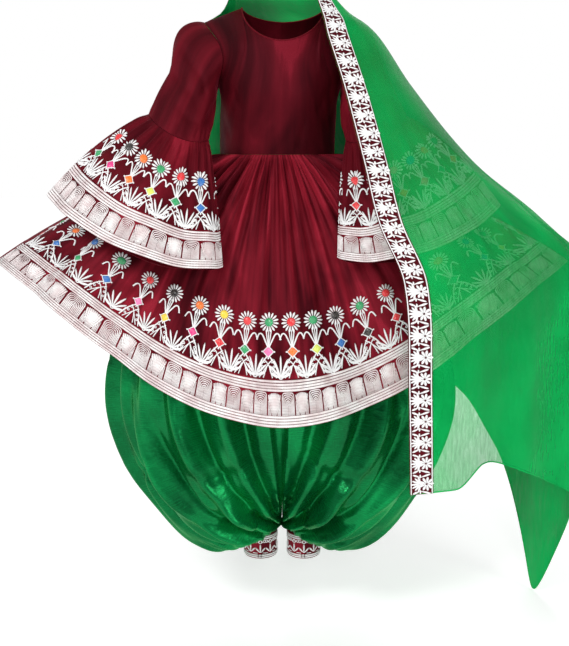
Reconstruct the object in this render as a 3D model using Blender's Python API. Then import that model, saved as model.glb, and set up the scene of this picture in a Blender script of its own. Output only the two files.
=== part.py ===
# Kuchi dress: a velvet frock with fanned sleeves and a full gathered skirt, balloon trousers and a
# bordered shawl, each cut piece a thin wall of its own, in the shape they take when worn.
# Metres, +Z up, the wearer faces -Y. The origin is where the neck meets the shoulders, which carry
# the dress. Left and right are the wearer's, so left is +X.

import math
from collections import namedtuple

import bmesh
import bpy
from mathutils import Vector

# Cloth thicknesses and the gaps that touching pieces keep
VELVET = 0.0015
SATIN = 0.0010
CHIFFON = 0.0010
EMBROIDERY = 0.0012
SEAM_GAP = 0.0005
LAY_GAP = 0.0004

# Frock: bodice
WAIST_Z = -0.335
WAIST_X = -0.011
WAIST_HALF_WIDTH = 0.135
WAIST_HALF_DEPTH = 0.098
NECK_X = 0.003
NECK_HALF_WIDTH = 0.095
NECK_TOP_Z = -0.006
NECK_FRONT_Z = -0.086
NECK_BACK_Z = -0.030
SHOULDER_HALF_WIDTH = 0.180
SHOULDER_SLOPE = 0.37
SHOULDER_ROUND = 0.100
ARMPIT_Z = -0.185
ARMHOLE_CUT_IN = 0.028
ARMHOLE_SHARE = 0.50
NECK_SHARE = 5 / 7
ARMHOLE_SHARES = (0.0, 0.12, 0.27, 0.42, 0.57, 0.72, 0.86, 0.95, 1.0)

# Frock: skirt
SKIRT_GATHERS = 60
SKIRT_BAND_START = 0.850
SKIRT_BULGE = 0.20
HEM_HALF_WIDTH = 0.684
HEM_HALF_DEPTH = 0.300
HEM_SIDE_Z = -0.585
HEM_FRONT_DROP = 0.330
HEM_WAVES = 15
HEM_WAVE_SHIFT = math.radians(2.5)
HEM_WAVE_HEIGHT = 0.018
GATHER_HEIGHT = 0.0060

# Frock: sleeves and their fanned ruffles
SEAM_HALF_DEPTH = 0.056
SEAM_SAG = 0.022
RUFFLE_GATHERS = 22
RUFFLE_BAND_START = 0.67
RUFFLE_WAVES = 7
RUFFLE_WAVE_HEIGHT = 0.006
RUFFLE_GATHER_HEIGHT = 0.0035
SLEEVE_PUFF = 0.030
FAN_PUFF = 0.014
FAN_BELLY = 0.022

# Trousers
LEG_FOLDS = 12
LEG_FOLD_HEIGHT = 0.013
CASING_HEIGHT = 0.026
CUFF_HEIGHT = 0.062
CUFF_RADIUS = 0.042

# Shawl
SHAWL_BORDER = 0.04
CROWN_Z = 0.285
CROWN_FRONT_Y = -0.095
CROWN_BACK_Y = 0.035
HEAD_SHARE = 0.16
SHAWL_DROP = 0.0042
FALL_Z = -0.580
FALL_SHARE = 0.62
SHAWL_FOLDS = 9
SHAWL_FOLD_HEIGHT = 0.012

Torso = namedtuple("Torso", "z half_width front back")
TORSO = (
    Torso(-0.335, 0.135, 0.098, 0.098),
    Torso(-0.260, 0.136, 0.113, 0.099),
    Torso(-0.200, 0.138, 0.124, 0.103),
    Torso(-0.120, 0.165, 0.112, 0.108),
    Torso(-0.050, 0.195, 0.090, 0.098),
    Torso(0.020, 0.205, 0.075, 0.085),
)

# A sleeve's seam ring, just above the elbow: its centre, its half width in the front view and its
# rise towards the outside. Then the fan's hem: its outer and inner ends, how far it bows forward
# between them, its half depth there, and how far its front and back hang below
Sleeve = namedtuple(
    "Sleeve",
    "side seam_x seam_y seam_z seam_half seam_rise tip_x tip_y tip_z inner_x inner_y inner_z "
    "bow half_depth sag_front sag_back puff",
)
SLEEVES = {
    "right": Sleeve(
        -1, 0.232, -0.095, -0.273, 0.073, 0.43, 0.520, -0.160, -0.421, 0.128, -0.255, -0.570,
        0.075, 0.040, 0.030, 0.050, 1.0,
    ),
    "left": Sleeve(
        1, 0.212, -0.095, -0.276, 0.073, 0.40, 0.485, -0.160, -0.444, 0.121, -0.250, -0.550,
        0.075, 0.040, 0.030, 0.050, 0.1,
    ),
}

# Rings down a trouser leg: height, the ring's centre and half width across, its half depth, and how
# far its outer side hangs below its inner side
Leg = namedtuple("Leg", "down z centre half_width half_depth droop")
LEG = (
    Leg(0.00, -0.351, 0.000, 0.1319, 0.0949, 0.000),
    Leg(0.08, -0.420, 0.030, 0.170, 0.120, 0.000),
    Leg(0.20, -0.560, 0.070, 0.225, 0.150, 0.000),
    Leg(0.36, -0.740, 0.105, 0.278, 0.185, 0.000),
    Leg(0.52, -0.920, 0.130, 0.284, 0.200, 0.000),
    Leg(0.66, -1.060, 0.138, 0.245, 0.195, 0.012),
    Leg(0.78, -1.160, 0.134, 0.185, 0.165, 0.034),
    Leg(0.87, -1.222, 0.118, 0.126, 0.130, 0.058),
    Leg(0.94, -1.253, 0.088, 0.082, 0.095, 0.062),
    Leg(1.00, -1.272, 0.055, 0.041, 0.042, 0.008),
)

# The shawl's plan at each height: points from its bordered edge in front, round the wearer's left
# side and the back, to its other bordered edge behind the right shoulder
Drape = namedtuple(
    "Drape",
    "z edge_x edge_y front_x front_y fore_x fore_y side_x side_y rear_x rear_y back_x back_y end_x end_y",
)
DRAPE = (
    Drape(
        0.030, 0.070, -0.078, 0.112, -0.012, 0.104, 0.050, 0.068, 0.092, -0.018, 0.108, -0.098, 0.066,
        -0.112, -0.030,
    ),
    Drape(
        -0.010, 0.084, -0.090, 0.144, -0.036, 0.148, 0.026, 0.120, 0.080, 0.040, 0.122, -0.085, 0.118,
        -0.142, 0.035,
    ),
    Drape(
        -0.036, 0.092, -0.103, 0.164, -0.066, 0.190, -0.012, 0.184, 0.035, 0.135, 0.088, -0.015, 0.138,
        -0.195, 0.062,
    ),
    Drape(
        -0.070, 0.099, -0.122, 0.184, -0.092, 0.220, -0.032, 0.227, 0.025, 0.190, 0.095, 0.020, 0.150,
        -0.240, 0.085,
    ),
    Drape(
        -0.180, 0.132, -0.176, 0.228, -0.152, 0.290, -0.080, 0.298, 0.010, 0.250, 0.110, 0.080, 0.168,
        -0.258, 0.105,
    ),
    Drape(
        -0.340, 0.170, -0.272, 0.280, -0.272, 0.405, -0.170, 0.438, 0.020, 0.345, 0.165, 0.150, 0.220,
        -0.270, 0.135,
    ),
    Drape(
        -0.460, 0.196, -0.352, 0.370, -0.365, 0.545, -0.235, 0.575, 0.010, 0.470, 0.195, 0.220, 0.262,
        -0.270, 0.180,
    ),
    Drape(
        -0.580, 0.246, -0.385, 0.410, -0.392, 0.655, -0.190, 0.720, 0.000, 0.620, 0.190, 0.330, 0.318,
        -0.270, 0.240,
    ),
    Drape(
        -0.800, 0.262, -0.385, 0.415, -0.387, 0.668, -0.195, 0.728, 0.000, 0.630, 0.195, 0.350, 0.350,
        -0.260, 0.340,
    ),
    Drape(
        -1.430, 0.285, -0.375, 0.425, -0.365, 0.670, -0.180, 0.725, 0.000, 0.640, 0.150, 0.370, 0.330,
        -0.250, 0.350,
    ),
)
DRAPE_POINTS = ("edge", "hem", "front", "fore", "side", "rear", "back", "end_hem", "end")
DRAPE_ALONG = (0.0, SHAWL_BORDER, 0.12, 0.32, 0.42, 0.54, 0.74, 1 - SHAWL_BORDER, 1.0)
SHAWL_BORDER_WIDTH = 0.050

Hang = namedtuple("Hang", "along bottom_z")
SHAWL_HEM = (
    Hang(0.00, -1.035),
    Hang(0.08, -1.020),
    Hang(0.12, -0.965),
    Hang(0.22, -1.020),
    Hang(0.33, -1.120),
    Hang(0.42, -1.250),
    Hang(0.50, -1.490),
    Hang(0.58, -1.130),
    Hang(0.68, -0.960),
    Hang(0.80, -0.800),
    Hang(1.00, -0.740),
)

Finish = namedtuple("Finish", "red green blue roughness")
FINISHES = {
    "velvet": Finish(0.230, 0.006, 0.022, 0.75),
    "white_embroidery": Finish(0.800, 0.770, 0.760, 0.70),
    "satin": Finish(0.004, 0.200, 0.060, 0.30),
    "chiffon": Finish(0.010, 0.360, 0.120, 0.55),
}


def clear_scene():
    for old in list(bpy.data.objects):
        bpy.data.objects.remove(old, do_unlink=True)


def finish(name):
    """A Principled material in one of the dress's finishes."""
    material = bpy.data.materials.get(name)
    if material is None:
        look = FINISHES[name]
        material = bpy.data.materials.new(name)
        material.use_nodes = True
        shader = material.node_tree.nodes["Principled BSDF"]
        shader.inputs["Base Color"].default_value = (look.red, look.green, look.blue, 1.0)
        shader.inputs["Roughness"].default_value = look.roughness
        shader.inputs["Metallic"].default_value = 0.0
    return material


def curve(keys, heights, value):
    """A smooth curve through heights at rising keys, read at a value."""
    value = min(max(value, keys[0]), keys[-1])
    i = max(k for k in range(len(keys) - 1) if keys[k] <= value)

    def slope(k):
        low, high = max(k - 1, 0), min(k + 1, len(keys) - 1)
        return (heights[high] - heights[low]) / (keys[high] - keys[low])

    span = keys[i + 1] - keys[i]
    t = (value - keys[i]) / span
    return (
        heights[i] * (1 + 2 * t) * (1 - t) ** 2
        + slope(i) * span * t * (1 - t) ** 2
        + heights[i + 1] * t * t * (3 - 2 * t)
        - slope(i + 1) * span * t * t * (1 - t)
    )


def read(table, value, field):
    """A smooth curve through one column of a table, read at a value of its first column."""
    rows = sorted(table)
    return curve([row[0] for row in rows], [getattr(row, field) for row in rows], value)


def mix(low, high, share):
    return low + (high - low) * share


def fade(value, start, end):
    """0 before start, 1 after end, and smooth between."""
    t = min(max((value - start) / (end - start), 0.0), 1.0)
    return t * t * (3 - 2 * t)


def spaced(start, end, count):
    return [mix(start, end, i / count) for i in range(count + 1)]


def outward(place, u, v):
    """The outward normal of place(u, v), where u runs anticlockwise seen from above and v runs down."""
    step = 1e-4
    across = place(u + step, v) - place(u - step, v)
    down = place(u, v + step) - place(u, max(v - step, 0.0))
    return down.cross(across).normalized()


def raised(base, height):
    """The surface base(u, v) moved outwards by height(u, v)."""
    return lambda u, v: base(u, v) + outward(base, u, v) * height(u, v)


def cloth(name, look, place, columns, rows, thickness, closed=False, gap=None, ridge=False, seam=None):
    """A wall over the surface place(u, v), through a grid of columns and rows. The surface is the
    wall's outer side, or with a gap it is the piece that the wall lies on. A ridge has its first row
    folded on itself down the middle. A seam names the axis across a flat seam, and how far off it a
    point is, so that the wall stays on its own side."""
    wide, tall = len(columns), len(rows)
    last = wide if closed else wide - 1
    points = [place(u, v) for v in rows for u in columns]
    sheet = []
    for row in range(tall - 1):
        for i in range(last):
            a, b = row * wide + i, row * wide + (i + 1) % wide
            sheet += [(a, b + wide, b), (a, a + wide, b + wide)]
    mesh = bpy.data.meshes.new(name)
    mesh.from_pydata(points, [], sheet)
    normals = [vertex.normal.copy() for vertex in mesh.vertices]
    mesh.clear_geometry()
    outer, inner = [], []
    for i, (point, normal) in enumerate(zip(points, normals)):
        if ridge and i < wide:
            normal = Vector((0, 0, 1))
        if seam and abs(seam[1](point)) < 2 * SEAM_GAP:
            normal[seam[0]] = 0.0
            normal.normalize()
        high = 0.0 if gap is None else gap + thickness
        outer.append(point + normal * high)
        inner.append(point + normal * (high - thickness))
    inside = wide * tall
    faces = sheet + [(inside + a, inside + c, inside + b) for a, b, c in sheet]

    def strip(a, b, c, d):
        faces.extend(((a, c, b), (a, d, c)))

    low = (tall - 1) * wide
    for i in range(last):
        j = (i + 1) % wide
        if not ridge:
            strip(inside + i, inside + j, j, i)
        strip(low + i, low + j, inside + low + j, inside + low + i)
    if not closed:
        for row in range(tall - 1):
            a, b = row * wide, row * wide + wide - 1
            strip(inside + a, a, a + wide, inside + a + wide)
            strip(b, inside + b, inside + b + wide, b + wide)
    mesh.from_pydata(outer + inner, [], faces)
    if ridge:
        solid = bmesh.new()
        solid.from_mesh(mesh)
        bmesh.ops.remove_doubles(solid, verts=solid.verts, dist=0.0001)
        solid.to_mesh(mesh)
        solid.free()
    mesh.materials.append(finish(look))
    piece = bpy.data.objects.new(name, mesh)
    dress.objects.link(piece)
    return piece


SIDE_SEAM = (1, lambda point: point.y)
MIDDLE_SEAM = (0, lambda point: point.x - leg_lean(point.z))


# The frock's bodice: a front and a back that meet in side and shoulder seams


def centre_x(z):
    """The waist sits a little to one side of the neck."""
    return mix(WAIST_X, NECK_X, fade(z, WAIST_Z, 0.0))


def shoulder_z(x):
    return NECK_TOP_Z - (abs(x) - NECK_HALF_WIDTH) * SHOULDER_SLOPE


def torso_depth(x, z, side):
    """How far the front or back stands off the plane of the side seams."""
    half = read(TORSO, z, "half_width")
    deep = read(TORSO, z, side)
    round_off = math.sqrt(max(0.0, 1 - (x / half) ** 2))
    below = min(max((shoulder_z(x) - z) / SHOULDER_ROUND, 0.0), 1.0)
    return deep * round_off * math.sin(below * math.pi / 2) ** 0.7


def armhole_edge(share):
    """x and z along the armhole, from the armpit up to the shoulder."""
    z = mix(ARMPIT_Z, shoulder_z(SHOULDER_HALF_WIDTH), share)
    x = mix(read(TORSO, ARMPIT_Z, "half_width"), SHOULDER_HALF_WIDTH, share)
    return x - ARMHOLE_CUT_IN * math.sin(math.pi * share) ** 1.2, z


def neck_edge(share, lowest):
    """x and z along the neckline, from the shoulder seam down to the middle."""
    turn = share * math.pi / 2
    return NECK_HALF_WIDTH * math.cos(turn), mix(NECK_TOP_Z, lowest, math.sin(turn) ** 1.15)


def bodice_top(across, lowest):
    """x and z of a panel's upper edge, from the middle of the neckline out to the shoulder's end."""
    if across <= NECK_SHARE:
        return neck_edge(1 - across / NECK_SHARE, lowest)
    x = mix(NECK_HALF_WIDTH, SHOULDER_HALF_WIDTH, (across - NECK_SHARE) / (1 - NECK_SHARE))
    return x, shoulder_z(x)


def bodice_side(v):
    """x and z of a panel's outer edge, down the armhole and then the side seam."""
    if v <= ARMHOLE_SHARE:
        return armhole_edge(1 - v / ARMHOLE_SHARE)
    z = mix(ARMPIT_Z, WAIST_Z + SEAM_GAP / 2, min((v - ARMHOLE_SHARE) / (1 - ARMHOLE_SHARE), 1.0))
    return read(TORSO, z, "half_width"), z


def bodice_place(side):
    """The front or back panel. u runs -1 to 1 across it, v runs down from its upper edge."""
    forward = -1 if side == "front" else 1
    lowest = NECK_FRONT_Z if side == "front" else NECK_BACK_Z

    def place(u, v):
        across = abs(u)
        top_x, top_z = bodice_top(across, lowest)
        side_x, side_z = bodice_side(v)
        start_z, end_z = bodice_side(0.0)[1], bodice_side(1.0)[1]
        z = mix(top_z, end_z, (start_z - side_z) / (start_z - end_z))
        x = side_x * mix(top_x / SHOULDER_HALF_WIDTH, math.sin(across * math.pi / 2), v)
        y = forward * (torso_depth(x, z, side) + SEAM_GAP / 2)
        return Vector((-forward * math.copysign(x, u) + centre_x(z), y, z))

    return place


def build_bodice():
    columns = spaced(-1.0, 1.0, 14)
    rows = [ARMHOLE_SHARE * (1 - share) for share in ARMHOLE_SHARES[::-1]] + [0.65, 0.82, 1.0]
    for side in ("front", "back"):
        cloth("bodice_" + side, "velvet", bodice_place(side), columns, rows, VELVET, seam=SIDE_SEAM)


# The frock's skirt: two gathered panels, held out at the sides, with an embroidered hem


def skirt_base(q, t):
    """The skirt without its folds. q turns from the front towards +X, t runs from waist to hem."""
    bulge = SKIRT_BULGE * t * (1 - t)
    hem_z = HEM_SIDE_Z - HEM_FRONT_DROP * abs(math.cos(q)) ** 3.3
    x = mix(WAIST_HALF_WIDTH, HEM_HALF_WIDTH, t + bulge) * math.sin(q)
    y = -mix(WAIST_HALF_DEPTH, HEM_HALF_DEPTH, t + bulge) * math.cos(q)
    z = mix(WAIST_Z - SEAM_GAP / 2, hem_z, t - bulge)
    return Vector((x + WAIST_X * (1 - t), y, z))


def skirt_fold_height(q, t):
    gathers = -math.cos(SKIRT_GATHERS * (q - math.pi / 2)) * GATHER_HEIGHT
    gathers *= fade(t, -0.02, 0.12) * fade(t, 0.0, 0.02) * (1 - fade(t, 0.15, 0.75))
    main = math.cos(HEM_WAVES * (q - HEM_WAVE_SHIFT))
    lesser = math.cos(2 * HEM_WAVES * q + 1.1) * 0.3 + math.cos(7 * q + 0.5) * 0.25
    near_side_seam = 1 - abs(math.sin(q)) ** 12
    return gathers + (main + lesser) * HEM_WAVE_HEIGHT * fade(t, 0.1, 0.9) * near_side_seam


def skirt_panel(forward):
    """The folded skirt, moved off the side seams."""
    folded = raised(skirt_base, skirt_fold_height)
    return lambda q, t: folded(q, t) + Vector((0, forward * SEAM_GAP / 2, 0))


def build_skirt():
    rows = (0.0, 0.025, 0.08, 0.18, 0.32, 0.50, 0.68, SKIRT_BAND_START, 1.0)
    for side, start, forward in (("front", -math.pi / 2, -1), ("back", math.pi / 2, 1)):
        columns = spaced(start, start + math.pi, SKIRT_GATHERS)
        place = skirt_panel(forward)
        cloth("skirt_" + side, "velvet", place, columns, rows, VELVET, seam=SIDE_SEAM)
        cloth(
            "skirt_band_" + side, "white_embroidery", place, columns, rows[-2:], EMBROIDERY,
            gap=LAY_GAP, seam=SIDE_SEAM,
        )


# The frock's sleeves: an upper sleeve set into the armhole, and a fan gathered to its lower edge


def seam_axes(sleeve):
    """Unit vectors across a sleeve's seam ring, away from the body, and down the arm from it."""
    length = math.hypot(1, sleeve.seam_rise)
    across = Vector((1, 0, sleeve.seam_rise)) / length
    return across, Vector((sleeve.seam_rise, 0, -1)) / length


def seam_ring(sleeve, turn):
    """A point of the seam ring. turn 0 is the outer side, a quarter turn is the front."""
    across, _ = seam_axes(sleeve)
    middle = Vector((sleeve.seam_x, sleeve.seam_y, sleeve.seam_z))
    deep = math.sin(turn)
    sag = SEAM_SAG * max(0.0, deep) ** 1.6
    return middle + across * sleeve.seam_half * math.cos(turn) + Vector((0, -SEAM_HALF_DEPTH * deep, -sag))


def armhole_ring(turn):
    """A point of the armhole. turn 0 is the shoulder, a quarter turn is the front."""
    x, z = armhole_edge((1 + math.cos(turn)) / 2)
    front = math.sin(turn) >= 0
    y = torso_depth(x, z, "front" if front else "back")
    return Vector((x, -y if front else y, z))


def upper_sleeve(sleeve):
    """The upper sleeve without its folds. v runs from the armhole to the seam ring."""

    def base(turn, v):
        start, end = armhole_ring(turn), seam_ring(sleeve, turn)
        point = start.lerp(end, v**1.3)
        point.x = mix(start.x + 2 * SEAM_GAP, end.x, v)
        outer = max(0.0, math.cos(turn))
        puff = SLEEVE_PUFF * sleeve.puff * outer * math.sin(math.pi * min(v * 1.6, 1.0) ** 0.7)
        point += Vector((puff, 0, puff * 0.35))
        return Vector((sleeve.side * point.x + centre_x(point.z) * (1 - v), point.y, point.z))

    return base


def upper_sleeve_folds(turn, v):
    middle = fade(v, 0.1, 0.5) * (1 - fade(v, 0.75, 1.0))
    return (math.cos(7 * turn + 5 * v) * 0.0035 + math.cos(3 * turn - 2.5) * 0.003) * middle


def fan_base(sleeve):
    """The fan without its folds. t runs from the seam ring to the hem."""

    def base(turn, t):
        _, arm = seam_axes(sleeve)
        top = seam_ring(sleeve, turn) + arm * 2 * SEAM_GAP
        tip = Vector((sleeve.tip_x, sleeve.tip_y, sleeve.tip_z))
        inner = Vector((sleeve.inner_x, sleeve.inner_y, sleeve.inner_z))
        deep = math.sin(turn)
        bow = sleeve.bow * deep * deep + sleeve.half_depth * deep
        sag = (sleeve.sag_front if deep > 0 else sleeve.sag_back) * abs(deep) ** 1.6
        hem = inner.lerp(tip, (1 + math.cos(turn)) / 2) + Vector((0, -bow, -sag))
        belly = math.sin(math.pi * t)
        puff = FAN_PUFF * belly * math.cos(turn)
        point = top.lerp(hem, t) + Vector((0.35 * puff, -FAN_BELLY * belly, puff))
        return Vector((sleeve.side * point.x, point.y, point.z))

    return base


def fan_fold_height(turn, t):
    gathers = math.cos(RUFFLE_GATHERS * turn) * RUFFLE_GATHER_HEIGHT
    gathers *= fade(t, 0.0, 0.10) * (1 - fade(t, 0.2, 0.85))
    off_ends = fade(abs(math.sin(turn)), 0.0, 0.6)
    waves = math.cos(RUFFLE_WAVES * turn + 0.6) * RUFFLE_WAVE_HEIGHT * fade(t, 0.1, 0.9)
    return gathers * (1 - 0.5 * t) + waves * off_ends


def sided(sleeve, place):
    """A sleeve's surface with its columns run anticlockwise on either side."""
    return lambda u, v: place(-sleeve.side * u, v)


def build_sleeves():
    over = [math.acos(2 * share - 1) for share in ARMHOLE_SHARES[::-1]]
    ring = over + [2 * math.pi - turn for turn in over[-2:0:-1]]
    fan_columns = spaced(0, 2 * math.pi, 2 * RUFFLE_GATHERS)[:-1]
    for side, sleeve in SLEEVES.items():
        upper = raised(sided(sleeve, upper_sleeve(sleeve)), upper_sleeve_folds)
        rows = (0.0, 0.08, 0.22, 0.45, 0.72, 1.0)
        cloth("sleeve_" + side, "velvet", upper, ring, rows, VELVET, closed=True)
        fan = raised(sided(sleeve, fan_base(sleeve)), fan_fold_height)
        rows = (0.0, 0.10, 0.38, RUFFLE_BAND_START, 1.0)
        cloth("ruffle_" + side, "velvet", fan, fan_columns, rows, VELVET, closed=True)
        cloth(
            "ruffle_band_" + side, "white_embroidery", fan, fan_columns, rows[-2:], EMBROIDERY,
            closed=True, gap=LAY_GAP,
        )


# The trousers: a drawstring casing, two wide legs joined down the middle, and narrow cuffs


def leg_lean(z):
    """How far the middle seam of the trousers sits from the middle of the dress."""
    return WAIST_X * fade(z, -0.95, LEG[0].z)


def leg_place(side):
    """One leg. c runs anticlockwise from one middle seam to the other, v runs down."""

    def base(c, v):
        c = min(max(c, 0.0), 1.0)
        around = c if side > 0 else 1 - c
        centre, half = read(LEG, v, "centre"), read(LEG, v, "half_width")
        start = math.acos(min(1.0, centre / half))
        turn = mix(start, 2 * math.pi - start, around)
        x = centre - half * math.cos(turn)
        near_seam = 1 - fade(min(c, 1 - c), 0.0, 0.05)
        y = -read(LEG, v, "half_depth") * math.sin(turn)
        y -= math.copysign(SEAM_GAP, 0.5 - around) * near_seam * fade(v, 0.85, 0.95)
        z = read(LEG, v, "z") - read(LEG, v, "droop") * (1 - math.cos(turn)) / 2
        return Vector((side * (x + SEAM_GAP / 2) + leg_lean(z), y, z))

    return base


def leg_fold_height(c, v):
    folds = math.cos(2 * math.pi * (LEG_FOLDS * c + 0.5)) + 0.4 * math.cos(2 * math.pi * 5 * c + 1 + 3 * v)
    along = fade(v, 0.02, 0.35) * (1 - fade(v, 0.70, 1.0))
    at_seam = fade(min(c, 1 - c), 0.0, 0.05)
    return folds * LEG_FOLD_HEIGHT * along * at_seam


def ring_place(centre_at, half_width, half_depth, top, height):
    """A plain upright ring of cloth. u turns anticlockwise from the front."""

    def place(turn, v):
        x = centre_at + half_width * math.sin(turn)
        return Vector((x, -half_depth * math.cos(turn), top - height * v))

    return place


def build_trousers():
    columns = spaced(0.0, 1.0, 3 * LEG_FOLDS)
    rows = [row.down for row in LEG]
    for name, side in (("left", 1), ("right", -1)):
        leg = raised(leg_place(side), leg_fold_height)
        cloth("trouser_leg_" + name, "satin", leg, columns, rows, SATIN, seam=MIDDLE_SEAM)
        last = LEG[-1]
        cuff = ring_place(side * last.centre, CUFF_RADIUS, CUFF_RADIUS, last.z - last.droop - 2 * SEAM_GAP, CUFF_HEIGHT)
        turns = spaced(0, 2 * math.pi, 20)[:-1]
        cloth("trouser_cuff_" + name, "white_embroidery", cuff, turns, (0.0, 1.0), VELVET, closed=True)
    inside = VELVET + 4 * LAY_GAP
    casing = ring_place(
        WAIST_X, WAIST_HALF_WIDTH - inside, WAIST_HALF_DEPTH - inside, LEG[0].z + SEAM_GAP + CASING_HEIGHT,
        CASING_HEIGHT,
    )
    turns = spaced(0, 2 * math.pi, 32)[:-1]
    cloth("trouser_waistband", "satin", casing, turns, (0.0, 1.0), SATIN, closed=True)


# The shawl: one long chiffon, over the head and round the left side, with a bordered long edge


def drape_section(z, c):
    """x and y of the shawl's plan at a height below the head. c runs 0 to 1 from the bordered edge."""
    points = {}
    for name in ("edge", "front", "fore", "side", "rear", "back", "end"):
        points[name] = Vector((read(DRAPE, z, name + "_x"), read(DRAPE, z, name + "_y")))
    inwards = (points["front"] - points["edge"]).normalized()
    points["hem"] = points["edge"] + inwards * SHAWL_BORDER_WIDTH
    inwards = (points["back"] - points["end"]).normalized()
    points["end_hem"] = points["end"] + inwards * SHAWL_BORDER_WIDTH
    x = curve(DRAPE_ALONG, [points[name].x for name in DRAPE_POINTS], c)
    y = curve(DRAPE_ALONG, [points[name].y for name in DRAPE_POINTS], c)
    return x, y


def shawl_base(c, v):
    """The shawl without its folds. v runs 0 on the crown to 1 at the lower edge."""
    c = min(max(c, 0.0), 1.0)
    neck_z = DRAPE[0].z
    if v <= HEAD_SHARE:
        up = (1 - v / HEAD_SHARE) * math.pi / 2
        x, y = drape_section(neck_z, c)
        x *= math.cos(up) * (1 + 0.35 * math.sin(2 * up))
        ridge_y = mix(CROWN_BACK_Y, CROWN_FRONT_Y, abs(2 * c - 1))
        z = mix(neck_z, CROWN_Z, math.sin(up)) - SHAWL_DROP
        return Vector((x, mix(y, ridge_y, 1 - math.cos(up)), z))
    z = mix(neck_z, FALL_Z, (v - HEAD_SHARE) / (FALL_SHARE - HEAD_SHARE))
    if v > FALL_SHARE:
        z = mix(FALL_Z, read(SHAWL_HEM, c, "bottom_z"), (v - FALL_SHARE) / (1 - FALL_SHARE))
    x, y = drape_section(z, c)
    return Vector((x, y, z - SHAWL_DROP))


def shawl_fold_height(c, v):
    folds = math.cos(2 * math.pi * SHAWL_FOLDS * c + 0.8) + 0.4 * math.cos(2 * math.pi * 5 * c + 2)
    return folds * SHAWL_FOLD_HEIGHT * fade(v, 0.35, 0.85) * fade(min(c, 1 - c), 0.02, 0.12)


def build_shawl():
    heights = (0.030, -0.010, -0.036, -0.070, -0.120, -0.180, -0.260, -0.340, -0.460, -0.580)
    rows = (0.0, 0.012, 0.035, 0.07, 0.115)
    rows += tuple(mix(HEAD_SHARE, FALL_SHARE, (heights[0] - z) / (heights[0] - FALL_Z)) for z in heights)
    rows += (0.72, 0.86, 1.0)
    shawl = raised(shawl_base, shawl_fold_height)
    border = (0.0, SHAWL_BORDER / 2, SHAWL_BORDER)
    columns = border[:-1] + tuple(spaced(SHAWL_BORDER, 1 - SHAWL_BORDER, 30)) + tuple(1 - c for c in border[1::-1])
    cloth("shawl", "chiffon", shawl, columns, rows, CHIFFON, ridge=True)
    cloth("shawl_border_left", "white_embroidery", shawl, border, rows[1:], EMBROIDERY, gap=LAY_GAP)
    cloth("shawl_border_right", "white_embroidery", shawl, columns[-3:], rows[1:], EMBROIDERY, gap=LAY_GAP)


clear_scene()
dress = bpy.data.collections.new("kuchi_dress")
bpy.context.scene.collection.children.link(dress)
build_bodice()
build_skirt()
build_sleeves()
build_trousers()
build_shawl()
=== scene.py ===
# Kuchi dress: a maroon velvet frock with fanned sleeves and a full skirt, green satin balloon
# trousers and a sheer green shawl with a bordered edge. The shapes follow the solids of the same
# names, with finer folds, raised embroidery and coloured stones on them.

import math
from collections import namedtuple

import bmesh
import bpy
import numpy as np
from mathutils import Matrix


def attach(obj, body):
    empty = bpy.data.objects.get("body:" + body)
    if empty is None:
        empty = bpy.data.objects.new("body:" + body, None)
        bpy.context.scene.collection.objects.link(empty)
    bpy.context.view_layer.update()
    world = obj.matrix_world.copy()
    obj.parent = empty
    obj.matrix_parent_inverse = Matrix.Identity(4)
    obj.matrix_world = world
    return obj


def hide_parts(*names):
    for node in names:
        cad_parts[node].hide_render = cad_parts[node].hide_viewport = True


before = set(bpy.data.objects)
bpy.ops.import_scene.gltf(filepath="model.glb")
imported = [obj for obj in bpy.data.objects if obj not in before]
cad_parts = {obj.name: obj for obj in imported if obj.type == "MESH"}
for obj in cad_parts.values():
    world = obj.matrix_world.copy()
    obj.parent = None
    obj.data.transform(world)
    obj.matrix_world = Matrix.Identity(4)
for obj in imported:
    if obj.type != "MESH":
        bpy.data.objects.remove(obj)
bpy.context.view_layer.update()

# The bodice: a velvet front and back, cut to the waist, with a round neck. They meet in side and
# shoulder seams, and a narrow velvet binding finishes the neck.

VELVET_THICKNESS = 0.0015
SEAM_GAP = 0.0005
WAIST_Z = -0.335
WAIST_X = -0.011
WAIST_HALF_WIDTH = 0.135
WAIST_HALF_DEPTH = 0.098
NECK_X = 0.003
NECK_HALF_WIDTH = 0.095
NECK_TOP_Z = -0.006
NECK_LOWEST_Z = {"front": -0.086, "back": -0.03}
NECK_SHARE = 5 / 7
NECK_BINDING_RADIUS = 0.0017
SHOULDER_HALF_WIDTH = 0.18
SHOULDER_SLOPE = 0.37
SHOULDER_ROUND = 0.1
ARMPIT_Z = -0.185
ARMHOLE_CUT_IN = 0.028
ARMHOLE_SHARE = 0.5
BODICE_COLUMNS = 120
BODICE_ROWS = 90

Torso = namedtuple("Torso", "z half_width front back")
TORSO = (
    Torso(-0.335, 0.135, 0.098, 0.098),
    Torso(-0.26, 0.136, 0.113, 0.099),
    Torso(-0.2, 0.138, 0.124, 0.103),
    Torso(-0.12, 0.165, 0.112, 0.108),
    Torso(-0.05, 0.195, 0.09, 0.098),
    Torso(0.02, 0.205, 0.075, 0.085),
)

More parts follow.
